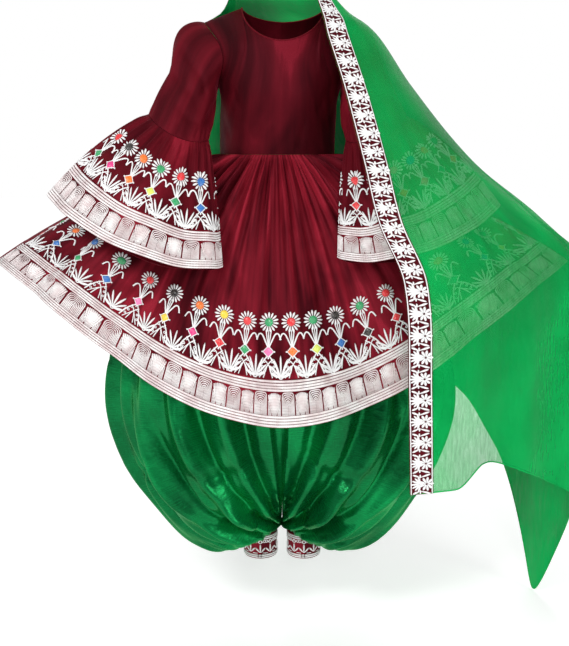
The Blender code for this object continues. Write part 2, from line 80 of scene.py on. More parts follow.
# A crease runs from its first point, past its middle one, to its last, in shares across and down
# the piece. Its width and height are metres, and a trough has a height under zero.
Crease = namedtuple("Crease", "u1 v1 u2 v2 u3 v3 width height")
BODICE_CREASES = {
    "front": (
        Crease(-0.95, 0.52, -0.7, 0.62, -0.45, 0.66, 0.01, -0.0022),
        Crease(0.93, 0.5, 0.72, 0.63, 0.5, 0.7, 0.012, -0.0026),
        Crease(0.96, 0.6, 0.8, 0.76, 0.62, 0.84, 0.009, -0.0018),
        Crease(-0.97, 0.66, -0.82, 0.8, -0.6, 0.9, 0.011, -0.002),
        Crease(-0.3, 0.97, -0.24, 0.86, -0.22, 0.74, 0.008, -0.0014),
        Crease(0.22, 0.98, 0.28, 0.86, 0.33, 0.7, 0.009, -0.0016),
        Crease(-0.86, 0.18, -0.7, 0.3, -0.6, 0.46, 0.013, 0.0022),
        Crease(0.84, 0.16, 0.68, 0.3, 0.62, 0.44, 0.014, 0.0024),
        Crease(-0.05, 0.99, 0.02, 0.9, 0.03, 0.8, 0.007, 0.001),
    ),
    "back": (
        Crease(-0.9, 0.55, -0.6, 0.64, -0.35, 0.62, 0.011, -0.0024),
        Crease(0.92, 0.58, 0.66, 0.68, 0.4, 0.7, 0.012, -0.0022),
        Crease(-0.28, 0.96, -0.2, 0.84, -0.22, 0.66, 0.009, -0.0018),
        Crease(0.2, 0.97, 0.24, 0.82, 0.2, 0.64, 0.009, -0.0016),
        Crease(0.8, 0.16, 0.66, 0.3, 0.6, 0.46, 0.014, 0.0022),
        Crease(-0.82, 0.18, -0.66, 0.32, -0.6, 0.5, 0.012, 0.002),
    ),
}


def mix(low, high, share):
    return low + (high - low) * share


def fade(value, start, end):
    """0 before start, 1 after end, and smooth between."""
    t = np.clip((value - start) / (end - start), 0.0, 1.0)
    return t * t * (3 - 2 * t)


def curve(keys, heights, value):
    """A smooth curve through heights at rising keys. Heights may differ from point to point."""
    keys = np.asarray(keys, float)
    value = np.clip(np.asarray(value, float), keys[0], keys[-1])
    last = len(keys) - 1
    below = np.clip(np.searchsorted(keys, value, side="right") - 1, 0, last - 1)
    heights = np.asarray(heights, float)
    if heights.ndim == 1:
        def height(k):
            return heights[k]
    else:
        def height(k):
            return np.take_along_axis(heights, k[None], axis=0)[0]

    def slope(k):
        low, high = np.maximum(k - 1, 0), np.minimum(k + 1, last)
        return (height(high) - height(low)) / (keys[high] - keys[low])

    span = keys[below + 1] - keys[below]
    t = (value - keys[below]) / span
    return (
        height(below) * (1 + 2 * t) * (1 - t) ** 2
        + slope(below) * span * t * (1 - t) ** 2
        + height(below + 1) * t * t * (3 - 2 * t)
        - slope(below + 1) * span * t * t * (1 - t)
    )


def read(table, value, field):
    """A smooth curve through one column of a table, read at values of its first column."""
    rows = sorted(table)
    return curve([row[0] for row in rows], [getattr(row, field) for row in rows], value)


def spot(x, y, z):
    """Points from their coordinates, which may be single numbers."""
    return np.stack(np.broadcast_arrays(x, y, z), axis=-1).astype(float)


def unit(vectors):
    return vectors / np.maximum(np.linalg.norm(vectors, axis=-1, keepdims=True), 1e-12)


def outward(place, u, v):
    """The outward direction of the surface place(u, v), where u runs anticlockwise from above."""
    step = 1e-4
    across = place(u + step, v) - place(u - step, v)
    down = place(u, v + step) - place(u, np.maximum(v - step, 0.0))
    return unit(np.cross(down, across))


def raised(base, height):
    """The surface base(u, v) moved outwards by height(u, v)."""
    return lambda u, v: base(u, v) + outward(base, u, v) * height(u, v)[..., None]


def crease_height(table, u, v, wide, tall):
    """How far the creases of a table lift a piece that is so wide and tall in metres."""
    total = np.zeros(np.broadcast(u, v).shape)
    for row in table:
        shares = np.linspace(0.0, 1.0, 11)
        path_u = (1 - shares) ** 2 * row.u1 + 2 * shares * (1 - shares) * row.u2 + shares**2 * row.u3
        path_v = (1 - shares) ** 2 * row.v1 + 2 * shares * (1 - shares) * row.v2 + shares**2 * row.v3
        nearest = np.full(total.shape, 9.0)
        along = np.zeros(total.shape)
        for i in range(10):
            ax, ay = path_u[i] * wide, path_v[i] * tall
            dx, dy = path_u[i + 1] * wide - ax, path_v[i + 1] * tall - ay
            share = ((u * wide - ax) * dx + (v * tall - ay) * dy) / (dx * dx + dy * dy)
            share = np.clip(share, 0.0, 1.0)
            gap = np.hypot(u * wide - ax - share * dx, v * tall - ay - share * dy)
            closer = gap < nearest
            nearest = np.where(closer, gap, nearest)
            along = np.where(closer, (i + share) / 10, along)
        total += row.height * np.exp(-((nearest / row.width) ** 2)) * np.sin(math.pi * along) ** 0.6
    return total


def wall(name, points, thickness, look, closed=False, ridge=False):
    """A thin shell of cloth behind a grid of outer points, with its lengths across and down in
    metres as its UV map. A ridge has its first row folded on itself down the middle."""
    rows, columns = points.shape[:2]
    if closed:
        across = np.roll(points, -1, axis=1) - np.roll(points, 1, axis=1)
    else:
        across = np.gradient(points, axis=1)
    normals = unit(np.cross(np.gradient(points, axis=0), across))
    if ridge:
        normals[0] = (0, 0, 1)
    inside = rows * columns
    wide = columns if closed else columns - 1
    i, r = (grid.ravel() for grid in np.meshgrid(np.arange(wide), np.arange(rows - 1)))

    def corner(column, row, layer):
        return np.stack([row * columns + column % columns + layer * inside, column, row], axis=-1)

    quads = [
        (corner(i, r, 0), corner(i, r + 1, 0), corner(i + 1, r + 1, 0), corner(i + 1, r, 0)),
        (corner(i, r, 1), corner(i + 1, r, 1), corner(i + 1, r + 1, 1), corner(i, r + 1, 1)),
    ]
    i = np.arange(wide)
    top, low = np.zeros(wide, int), np.full(wide, rows - 1)
    if not ridge:
        quads.append((corner(i, top, 1), corner(i, top, 0), corner(i + 1, top, 0), corner(i + 1, top, 1)))
    quads.append((corner(i, low, 0), corner(i, low, 1), corner(i + 1, low, 1), corner(i + 1, low, 0)))
    if not closed:
        r = np.arange(rows - 1)
        first, last = np.zeros(rows - 1, int), np.full(rows - 1, columns - 1)
        for column, out, back in ((first, 1, 0), (last, 0, 1)):
            quads.append((
                corner(column, r, out), corner(column, r + 1, out),
                corner(column, r + 1, back), corner(column, r, back),
            ))
    corners = np.concatenate([np.stack(quad, axis=1) for quad in quads])
    verts = np.concatenate([points.reshape(-1, 3), (points - normals * thickness).reshape(-1, 3)])
    mesh = bpy.data.meshes.new(name)
    mesh.from_pydata(verts.tolist(), [], corners[..., 0].tolist())
    half = np.linalg.norm(np.diff(points[rows // 2], axis=0), axis=-1)
    lengths = np.concatenate([[0.0], np.cumsum(half), [half.sum() + half[-1]]])
    drop = np.linalg.norm(np.diff(points[:, columns // 2], axis=0), axis=-1)
    depths = np.concatenate([[0.0], np.cumsum(drop)])
    uv = np.stack([lengths[corners[..., 1]], depths[corners[..., 2]]], axis=-1)
    mesh.uv_layers.new(name="cloth").data.foreach_set("uv", uv.reshape(-1))
    if ridge:
        shell = bmesh.new()
        shell.from_mesh(mesh)
        bmesh.ops.remove_doubles(shell, verts=shell.verts, dist=0.0001)
        shell.to_mesh(mesh)
        shell.free()
    mesh.polygons.foreach_set("use_smooth", [True] * len(mesh.polygons))
    mesh.set_sharp_from_angle(angle=math.radians(60))
    mesh.materials.append(look)
    piece = bpy.data.objects.new(name, mesh)
    bpy.context.scene.collection.objects.link(piece)
    return piece


def grid_of(place, u, v):
    """The points of a surface over columns u and rows v."""
    columns, rows = np.meshgrid(u, v)
    return place(columns, rows)


class Value:
    """A socket that takes part in sums, so that a pattern reads as plain arithmetic."""

    def __init__(self, look, socket):
        self.look = look
        self.socket = socket

    def sum(self, operation, first, second):
        return self.look.make("ShaderNodeMath", {"operation": operation}, {0: first, 1: second})

    def __add__(self, other):
        return self.sum("ADD", self, other)

    def __sub__(self, other):
        return self.sum("SUBTRACT", self, other)

    def __rsub__(self, other):
        return self.sum("SUBTRACT", other, self)

    def __mul__(self, other):
        return self.sum("MULTIPLY", self, other)

    __radd__ = __add__
    __rmul__ = __mul__


class Finish:
    """A material of the dress, with its colour, roughness and other fixed inputs."""

    def __init__(self, name, **fixed):
        self.material = bpy.data.materials.new(name)
        self.material.use_nodes = True
        self.tree = self.material.node_tree
        self.shader = self.tree.nodes["Principled BSDF"]
        for socket, value in fixed.items():
            self.shader.inputs[socket.replace("_", " ")].default_value = value

    def make(self, kind, settings, inputs, output=0):
        """Adds a node: its type, its settings, then the values or links of its sockets."""
        node = self.tree.nodes.new(kind)
        for setting, value in settings.items():
            if setting == "stops":
                for place, (at, colour) in enumerate(value):
                    ramp = node.color_ramp.elements
                    stop = ramp[place] if place < 2 else ramp.new(at)
                    stop.position, stop.color = at, colour
            else:
                setattr(node, setting, value)
        for socket, value in inputs.items():
            if isinstance(value, Value):
                self.tree.links.new(value.socket, node.inputs[socket])
            else:
                node.inputs[socket].default_value = value
        return Value(self, node.outputs[output])

    def on_cloth(self, across, down, layer="cloth"):
        """The piece's own lengths across and down, times so many repeats a metre."""
        uv = self.make("ShaderNodeUVMap", {"uv_map": layer}, {})
        return self.make("ShaderNodeVectorMath", {"operation": "MULTIPLY"}, {0: uv, 1: (across, down, 1.0)})

    def in_space(self, scale=1.0):
        place = self.make("ShaderNodeTexCoord", {}, {}, output="Object")
        return self.make("ShaderNodeVectorMath", {"operation": "SCALE"}, {0: place, "Scale": scale})

    def noise(self, vector, scale, detail=2.0, roughness=0.5, distortion=0.0):
        sizes = {"Vector": vector, "Scale": scale, "Detail": detail, "Roughness": roughness}
        sizes["Distortion"] = distortion
        return self.make("ShaderNodeTexNoise", {}, sizes)

    def part(self, vector, axis):
        return self.make("ShaderNodeSeparateXYZ", {}, {0: vector}, output=axis)

    def sine(self, value):
        return self.make("ShaderNodeMath", {"operation": "SINE"}, {0: value})

    def between(self, value, low, high, to_low=0.0, to_high=1.0):
        return self.make("ShaderNodeMapRange", {}, {0: value, 1: low, 2: high, 3: to_low, 4: to_high})

    def blend(self, share, first, second):
        return self.make("ShaderNodeMix", {"data_type": "RGBA"}, {0: share, 6: first, 7: second}, output=2)

    def colour(self, value):
        self.tree.links.new(value.socket, self.shader.inputs["Base Color"])

    def roughness(self, value):
        self.tree.links.new(value.socket, self.shader.inputs["Roughness"])

    def bump(self, height, distance, strength=1.0):
        sizes = {"Height": height, "Distance": distance, "Strength": strength}
        normal = self.make("ShaderNodeBump", {}, sizes)
        self.tree.links.new(normal.socket, self.shader.inputs["Normal"])


def velvet_finish(name, deep, full, bright, painted_streaks=0.22):
    """Short silky pile with its light and shade painted into its colour: random patches and streaks blend the deep
    tone, a painted shade, into the full one, and the highest spots take the bright tone, a painted sheen.
    """
    velvet = Finish(
        name, Sheen_Weight=0.22, Sheen_Roughness=0.28, Sheen_Tint=(1.0, 0.1, 0.18, 1.0),
        Specular_IOR_Level=0.15, Specular_Tint=(1.0, 0.25, 0.35, 1.0),
    )
    brushed_and_shaded = velvet.noise(velvet.on_cloth(7.0, 3.2), 1.0, 3.0, 0.5, 0.8)
    streaks = velvet.noise(velvet.on_cloth(55.0, 4.0), 1.0, 2.0)
    pile = velvet.noise(velvet.in_space(), 1400.0, 1.0)
    nap_and_painted_light = velvet.between(brushed_and_shaded + (streaks - 0.5) * painted_streaks, 0.34, 0.68)
    # Painted shade: random patches and streaks blend the deep tone into the full one.
    tone = velvet.blend(nap_and_painted_light, deep, full)
    # Painted sheen: the bright tone where the patches and the fine pile run highest.
    velvet.colour(velvet.blend(velvet.between(nap_and_painted_light + (pile - 0.5) * 0.8, 0.85, 1.5), tone, bright))
    velvet.roughness(velvet.between(nap_and_painted_light, 0.0, 1.0, 0.6, 0.42))
    velvet.bump(pile + streaks * 1.5, 0.0006, 0.5)
    return velvet.material


# The dress velvet: its deep tone is painted shade and its bright tone a painted sheen.
VELVET = velvet_finish(
    "velvet", (0.045, 0.0018, 0.004, 1.0), (0.17, 0.007, 0.015, 1.0), (0.33, 0.018, 0.038, 1.0)
)


# A darker copy of the dress velvet for the bodice, as painted shade. Its deep tone is painted shade and its bright tone
# a painted sheen.
SHADED_BODICE_VELVET = velvet_finish(
    "bodice_velvet", (0.02, 0.0008, 0.0018, 1.0), (0.1, 0.004, 0.009, 1.0), (0.28, 0.015, 0.032, 1.0)
)


def centre_x(z):
    """The waist sits a little to one side of the neck."""
    return mix(WAIST_X, NECK_X, fade(z, WAIST_Z, 0.0))


def shoulder_z(x):
    return NECK_TOP_Z - (np.abs(x) - NECK_HALF_WIDTH) * SHOULDER_SLOPE


def torso_depth(x, z, side):
    """How far the front or back stands off the plane of the side seams."""
    half, deep = read(TORSO, z, "half_width"), read(TORSO, z, side)
    round_off = np.sqrt(np.maximum(0.0, 1 - (x / half) ** 2))
    below = np.clip((shoulder_z(x) - z) / SHOULDER_ROUND, 0.0, 1.0)
    return deep * round_off * np.sin(below * math.pi / 2) ** 0.7


def armhole_edge(share):
    """x and z along the armhole, from the armpit up to the shoulder."""
    z = mix(ARMPIT_Z, shoulder_z(SHOULDER_HALF_WIDTH), share)
    x = mix(read(TORSO, ARMPIT_Z, "half_width"), SHOULDER_HALF_WIDTH, share)
    return x - ARMHOLE_CUT_IN * np.maximum(0.0, np.sin(math.pi * share)) ** 1.2, z


def bodice_top(across, lowest):
    """x and z of a panel's upper edge, from the middle of the neckline out to the shoulder's end."""
    turn = np.maximum(0.0, 1 - across / NECK_SHARE) * math.pi / 2
    neck_x = NECK_HALF_WIDTH * np.cos(turn)
    neck_z = mix(NECK_TOP_Z, lowest, np.sin(turn) ** 1.15)
    x = mix(NECK_HALF_WIDTH, SHOULDER_HALF_WIDTH, (across - NECK_SHARE) / (1 - NECK_SHARE))
    on_neck = across <= NECK_SHARE
    return np.where(on_neck, neck_x, x), np.where(on_neck, neck_z, shoulder_z(x))


def bodice_side(v):
    """x and z of a panel's outer edge, down the armhole and then the side seam."""
    hole_x, hole_z = armhole_edge(1 - np.minimum(v / ARMHOLE_SHARE, 1.0))
    below = np.clip((v - ARMHOLE_SHARE) / (1 - ARMHOLE_SHARE), 0.0, 1.0)
    z = mix(ARMPIT_Z, WAIST_Z + SEAM_GAP / 2, below)
    on_hole = v <= ARMHOLE_SHARE
    return np.where(on_hole, hole_x, read(TORSO, z, "half_width")), np.where(on_hole, hole_z, z)


def bodice_place(side):
    """The front or back panel. u runs -1 to 1 across it, v runs down from its upper edge."""
    forward = -1 if side == "front" else 1

    def place(u, v):
        across = np.abs(u)
        top_x, top_z = bodice_top(across, NECK_LOWEST_Z[side])
        side_x, side_z = bodice_side(v)
        start_z, end_z = bodice_side(np.array(0.0))[1], bodice_side(np.array(1.0))[1]
        z = mix(top_z, end_z, (start_z - side_z) / (start_z - end_z))
        x = side_x * mix(top_x / SHOULDER_HALF_WIDTH, np.sin(across * math.pi / 2), v)
        y = forward * (torso_depth(x, z, side) + SEAM_GAP / 2)
        return spot(-forward * np.copysign(x, u) + centre_x(z), y, z)

    return place


def bodice_folds(side):
    def height(u, v):
        inside = fade(v, 0.0, 0.1) * (1 - fade(v, 0.94, 1.0)) * (1 - fade(np.abs(u), 0.86, 1.0))
        return crease_height(BODICE_CREASES[side], u, v, 0.2, 0.29) * inside

    return height


def tube(name, path, radius, look, sides=8, closed=False):
    """A round binding or cord along a path of points."""
    ahead = np.roll(path, -1, axis=0) - np.roll(path, 1, axis=0)
    if not closed:
        ahead[0], ahead[-1] = path[1] - path[0], path[-1] - path[-2]
    ahead = unit(ahead)
    aside = unit(np.cross(ahead, (0.13, 0.21, 1.0)))
    over = np.cross(ahead, aside)
    rings = []
    for k in range(sides):
        turn = 2 * math.pi * k / sides
        rings.append(path + (aside * math.cos(turn) + over * math.sin(turn)) * radius)
    verts = np.stack(rings, axis=1).reshape(-1, 3)
    count = len(path)
    faces = []
    for i in range(count if closed else count - 1):
        a, b = i * sides, (i + 1) % count * sides
        faces += [(a + k, a + (k + 1) % sides, b + (k + 1) % sides, b + k) for k in range(sides)]
    if not closed:
        faces += [tuple(range(sides))[::-1], tuple(range((count - 1) * sides, count * sides))]
    mesh = bpy.data.meshes.new(name)
    mesh.from_pydata(verts.tolist(), [], faces)
    mesh.uv_layers.new(name="cloth")
    mesh.polygons.foreach_set("use_smooth", [True] * len(mesh.polygons))
    mesh.materials.append(look)
    piece = bpy.data.objects.new(name, mesh)
    bpy.context.scene.collection.objects.link(piece)
    return piece


for side in ("front", "back"):
    place = raised(bodice_place(side), bodice_folds(side))
    columns = np.linspace(-1.0, 1.0, BODICE_COLUMNS + 1)
    rows = np.linspace(0.0, 1.0, BODICE_ROWS + 1)
    panel = wall("bodice_cloth_" + side, grid_of(place, columns, rows), VELVET_THICKNESS, SHADED_BODICE_VELVET)
    around_neck = np.linspace(-NECK_SHARE, NECK_SHARE, 61)
    binding = tube("neck_binding_" + side, place(around_neck, np.zeros(61)), NECK_BINDING_RADIUS, VELVET)
    for piece in (panel, binding):
        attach(piece, "root")
    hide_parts("bodice_" + side)

# The skirt: two very wide velvet panels, gathered small into the waist seam and swinging out to a
# hem that stands off the legs at both sides.

SKIRT_GATHERS = 60
SKIRT_FINE_GATHERS = 143
SKIRT_BAND_START = 0.85
SKIRT_BULGE = 0.2
HEM_HALF_WIDTH = 0.684
HEM_HALF_DEPTH = 0.3
HEM_SIDE_Z = -0.585
HEM_FRONT_DROP = 0.33
HEM_WAVES = 15
HEM_WAVE_SHIFT = math.radians(2.5)
HEM_WAVE_HEIGHT = 0.018
GATHER_HEIGHT = 0.006
SKIRT_COLUMNS = 420
SKIRT_ROWS = 72
SKIRT_CREASES = (
    Crease(-0.62, 0.16, -0.7, 0.5, -0.74, 0.96, 0.018, -0.01),
    Crease(-0.5, 0.1, -0.58, 0.46, -0.6, 0.98, 0.016, 0.009),
    Crease(-0.4, 0.1, -0.45, 0.46, -0.47, 0.98, 0.014, -0.009),
    Crease(-0.3, 0.1, -0.34, 0.46, -0.36, 0.98, 0.015, 0.009),
    Crease(-0.21, 0.12, -0.24, 0.5, -0.26, 0.99, 0.012, -0.01),
    Crease(-0.11, 0.08, -0.13, 0.46, -0.15, 0.99, 0.013, 0.008),
    Crease(-0.04, 0.12, -0.05, 0.52, -0.07, 0.99, 0.011, -0.009),
    Crease(0.04, 0.1, 0.04, 0.5, 0.03, 0.99, 0.012, 0.008),
    Crease(0.1, 0.12, 0.12, 0.52, 0.11, 0.99, 0.012, -0.01),
    Crease(0.19, 0.08, 0.21, 0.44, 0.21, 0.98, 0.013, 0.009),
    Crease(0.28, 0.12, 0.31, 0.5, 0.33, 0.97, 0.013, -0.01),
    Crease(0.42, 0.1, 0.47, 0.5, 0.49, 0.97, 0.016, 0.009),
    Crease(0.55, 0.16, 0.61, 0.48, 0.64, 0.96, 0.016, -0.01),
    Crease(0.68, 0.12, 0.74, 0.48, 0.78, 0.96, 0.018, 0.009),
)


def skirt_base(q, t):
    """The skirt without its folds. q turns from the front towards +X, t runs from waist to hem."""
    bulge = SKIRT_BULGE * t * (1 - t)
    hem_z = HEM_SIDE_Z - HEM_FRONT_DROP * np.abs(np.cos(q)) ** 3.3
    x = mix(WAIST_HALF_WIDTH, HEM_HALF_WIDTH, t + bulge) * np.sin(q)
    y = -mix(WAIST_HALF_DEPTH, HEM_HALF_DEPTH, t + bulge) * np.cos(q)
    z = mix(WAIST_Z - SEAM_GAP / 2, hem_z, t - bulge)
    return spot(x + WAIST_X * (1 - t), y, z)


def skirt_fold_height(q, t):
    gathers = -np.cos(SKIRT_GATHERS * (q - math.pi / 2)) * GATHER_HEIGHT
    gathers *= fade(t, -0.02, 0.12) * fade(t, 0.0, 0.02) * (1 - fade(t, 0.15, 0.75))
    fine = np.cos(SKIRT_FINE_GATHERS * q + 2.2 * np.sin(9 * q)) * 0.002 + np.cos(97 * q + 1.0) * 0.0022
    gathers += fine * fade(t, 0.0, 0.03) * (1 - fade(t, 0.1, 0.7))
    main = np.cos(HEM_WAVES * (q - HEM_WAVE_SHIFT))
    lesser = np.cos(2 * HEM_WAVES * q + 1.1) * 0.3 + np.cos(7 * q + 0.5) * 0.25
    near_side_seam = 1 - np.abs(np.sin(q)) ** 12
    across = (q + math.pi / 2) % math.pi - math.pi / 2
    soft = crease_height(SKIRT_CREASES, across / (math.pi / 2), t, 0.92, 0.61)
    return gathers + ((main + lesser) * HEM_WAVE_HEIGHT * fade(t, 0.1, 0.9) + soft) * near_side_seam


def skirt_panel(forward):
    """The folded skirt, moved off the side seams."""
    folded = raised(skirt_base, skirt_fold_height)
    return lambda q, t: folded(q, t) + np.array((0, forward * SEAM_GAP / 2, 0))


# A brighter copy of the dress velvet for the skirt, with strong streaks: painted sheen on its streaks and painted shade
# between them.
LIT_SKIRT_VELVET = velvet_finish(
    "gathered_velvet", (0.04, 0.0014, 0.0035, 1.0), (0.19, 0.008, 0.017, 1.0), (0.42, 0.024, 0.048, 1.0), 0.75
)
SKIRT_SIDES = {"front": (-math.pi / 2, -1), "back": (math.pi / 2, 1)}
for side, (start, forward) in SKIRT_SIDES.items():
    columns = np.linspace(start, start + math.pi, SKIRT_COLUMNS + 1)
    rows = np.linspace(0.0, 1.0, SKIRT_ROWS + 1)
    points = grid_of(skirt_panel(forward), columns, rows)
    panel = wall("skirt_cloth_" + side, points, VELVET_THICKNESS, LIT_SKIRT_VELVET)
    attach(panel, "root")
    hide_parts("skirt_" + side)

# The skirt's hem: dense white couched cord on velvet. A band of flat braids and corded panels runs
# along the edge, and palmettes, stems and daisies with coloured stones stand on it.

PITCH = 0.086
BAND_HEIGHT = 0.092
BAND_LIFT = 0.0005
GROUND_LIFT = 0.0006
GROUND_THICKNESS = 0.0004
CORD_HEIGHT = 0.0016
SKIRT_MOTIFS = 20
MOTIF_TURN = 5.2
MOTIF_SPREAD = 0.0306
BRAIDS = (0.003, 0.0085, 0.014, 0.0195, 0.07, 0.0755, 0.081, 0.087)
BRAID_HALF_WIDTH = 0.0026
SLIT_HALF_WIDTH = 0.0019
PANEL_LOW = 0.0225
PANEL_HIGH = 0.0665


class Stitching:
    """Raised cords and petals in flat cloth sizes: along the hem, up from it and off the cloth."""

    PROFILE = ((-1.0, 0.0), (-0.62, 0.8), (0.0, 1.0), (0.62, 0.8), (1.0, 0.0))

    def __init__(self):
        self.points, self.faces, self.uvs, self.count = [], [], [], 0

    def cord(self, path, half_width, height=CORD_HEIGHT, lift=0.0, closed=False):
        """One raised strand along a path, with a half width, or one for each of its points."""
        path = np.asarray(path, float)
        count = len(path)
        widths = np.broadcast_to(np.asarray(half_width, float), (count,))
        ahead = np.roll(path, -1, axis=0) - np.roll(path, 1, axis=0)
        if not closed:
            ahead[0], ahead[-1] = path[1] - path[0], path[-1] - path[-2]
        ahead = unit(ahead)
        aside = np.stack([-ahead[:, 1], ahead[:, 0]], axis=-1)
        length = np.concatenate([[0.0], np.cumsum(np.linalg.norm(np.diff(path, axis=0), axis=-1))])
        crest = height * np.sqrt(widths / widths.max())
        for i in range(count):
            for across, up in self.PROFILE:
                x, y = path[i] - aside[i] * across * widths[i]
                self.points.append((x, y, lift + up * crest[i]))
        sides = len(self.PROFILE)
        for i in range(count if closed else count - 1):
            a, b = self.count + i * sides, self.count + (i + 1) % count * sides
            step = length[i + 1] if i + 1 < count else length[i] + length[1]
            for k in range(sides):
                after = (k + 1) % sides
                self.faces.append((a + k, a + after, b + after, b + k))
                low, high = k / 4, (k + 1) / 4
                self.uvs += [(length[i], low), (length[i], high), (step, high), (step, low)]
        if not closed:
            first = tuple(self.count + k for k in range(sides))[::-1]
            last = tuple(self.count + (count - 1) * sides + k for k in range(sides))
            self.faces += [first, last]
            self.uvs += [(0.0, 0.5)] * sides + [(length[-1], 0.5)] * sides
        self.count += count * sides

    def petal(self, root, turn, length, half_width, height=CORD_HEIGHT, lift=0.0):
        """A leaf-shaped stitch from its root, turned clockwise from straight up."""
        shares = np.array((0.0, 0.3, 0.62, 0.88, 1.0))
        widths = np.array((0.3, 0.72, 1.0, 0.72, 0.15)) * half_width
        x, y = root[0] + shares * length * math.sin(turn), root[1] + shares * length * math.cos(turn)
        self.cord(np.stack([x, y], axis=-1), widths, height, lift)

    def ring(self, centre, radius, half_width, height=CORD_HEIGHT, lift=0.0, sides=12):
        turns = np.arange(sides) * 2 * math.pi / sides
        path = np.stack([centre[0] + radius * np.sin(turns), centre[1] + radius * np.cos(turns)], axis=-1)
        self.cord(path, half_width, height, lift, closed=True)

    def mesh(self, name):
        mesh = bpy.data.meshes.new(name)
        mesh.from_pydata(self.points, [], self.faces)
        mesh.uv_layers.new(name="cloth").data.foreach_set("uv", np.array(self.uvs).reshape(-1))
        mesh.polygons.foreach_set("use_smooth", [True] * len(mesh.polygons))
        return mesh


def bowed(*points, steps=9):
    """A curve past the middle points of a bent stitch."""
    points = np.asarray(points, float)
    keys = np.linspace(0.0, 1.0, len(points))
    at = np.linspace(0.0, 1.0, steps)
    return np.stack([curve(keys, points[:, 0], at), curve(keys, points[:, 1], at)], axis=-1)


def embroidery_finish():
    """Twisted white cord, its tone varying at random in patches from silver-pink to white, with painted shade, a dark
    pink-brown, down its sides and in its twist, where it dips to the velvet.
    """
    cord = Finish("white_embroidery", Sheen_Weight=0.15, Specular_IOR_Level=0.3)
    strands = cord.on_cloth(1.0, 1.0)
    side = cord.part(strands, "Y")
    off_crest = cord.make("ShaderNodeMath", {"operation": "ABSOLUTE"}, {0: side - 0.5})
    twist = cord.sine((cord.part(strands, "X") * 1150.0) + (side * 8.0))
    fuzz = cord.noise(cord.in_space(), 900.0, 2.0)
    # The cord's tone varies at random in patches.
    tone_patches = cord.noise(cord.in_space(), 30.0, 3.0, 0.6)
    shade = cord.between(tone_patches, 0.36, 0.64)
    tone = cord.blend(shade, (0.68, 0.56, 0.56, 1.0), (0.9, 0.87, 0.86, 1.0))
    # Painted shade: the cord darkens to pink-brown towards its sides and in the grooves of its twist.
    painted_groove_shade = cord.between(off_crest * 2.6 - twist * 0.16 + (fuzz - 0.5) * 0.5, 0.75, 1.4)
    cord.colour(cord.blend(painted_groove_shade, tone, (0.34, 0.22, 0.23, 1.0)))
    cord.roughness(cord.between(fuzz, 0.3, 0.7, 0.55, 0.8))
    cord.bump(twist * 0.6 + fuzz, 0.0006, 0.8)
    return cord.material


EMBROIDERY = embroidery_finish()


def repeat_tree():
    """Sets a motif at even steps in a row, each a little different in size, as one mesh."""
    tree = bpy.data.node_groups.new("row_of_motifs", "GeometryNodeTree")
    sockets = tree.interface
    sockets.new_socket(name="Geometry", in_out="INPUT", socket_type="NodeSocketGeometry")
    for name, kind in (("Motif", "Object"), ("Count", "Int"), ("Step", "Float"), ("Start", "Float")):
        sockets.new_socket(name=name, in_out="INPUT", socket_type="NodeSocket" + kind)
    for name, kind in (("Unevenness", "Float"), ("Seed", "Int"), ("Finish", "Material")):
        sockets.new_socket(name=name, in_out="INPUT", socket_type="NodeSocket" + kind)
    sockets.new_socket(name="Geometry", in_out="OUTPUT", socket_type="NodeSocketGeometry")
    nodes, links = tree.nodes, tree.links
    given = nodes.new("NodeGroupInput").outputs
    result = nodes.new("NodeGroupOutput")
    start = nodes.new("ShaderNodeCombineXYZ")
    links.new(given["Start"], start.inputs["X"])
    step = nodes.new("ShaderNodeCombineXYZ")
    links.new(given["Step"], step.inputs["X"])
    row = nodes.new("GeometryNodeMeshLine")
    links.new(given["Count"], row.inputs["Count"])
    links.new(start.outputs[0], row.inputs["Start Location"])
    links.new(step.outputs[0], row.inputs["Offset"])
    motif = nodes.new("GeometryNodeObjectInfo")
    links.new(given["Motif"], motif.inputs["Object"])
    least = nodes.new("ShaderNodeMath")
    least.operation = "SUBTRACT"
    least.inputs[0].default_value = 1.0
    links.new(given["Unevenness"], least.inputs[1])
    most = nodes.new("ShaderNodeMath")
    most.operation = "ADD"
    most.inputs[0].default_value = 1.0
    links.new(given["Unevenness"], most.inputs[1])
    size = nodes.new("FunctionNodeRandomValue")
    size.data_type = "FLOAT"
    links.new(least.outputs[0], size.inputs[2])
    links.new(most.outputs[0], size.inputs[3])
    links.new(given["Seed"], size.inputs["Seed"])
    placed = nodes.new("GeometryNodeInstanceOnPoints")
    links.new(row.outputs["Mesh"], placed.inputs["Points"])
    links.new(motif.outputs["Geometry"], placed.inputs["Instance"])
    links.new(size.outputs[1], placed.inputs["Scale"])
    whole = nodes.new("GeometryNodeRealizeInstances")
    links.new(placed.outputs[0], whole.inputs[0])
    covered = nodes.new("GeometryNodeSetMaterial")
    links.new(whole.outputs[0], covered.inputs[0])
    links.new(given["Finish"], covered.inputs["Material"])
    links.new(covered.outputs[0], result.inputs[0])
    return tree


ROW_OF_MOTIFS = repeat_tree()


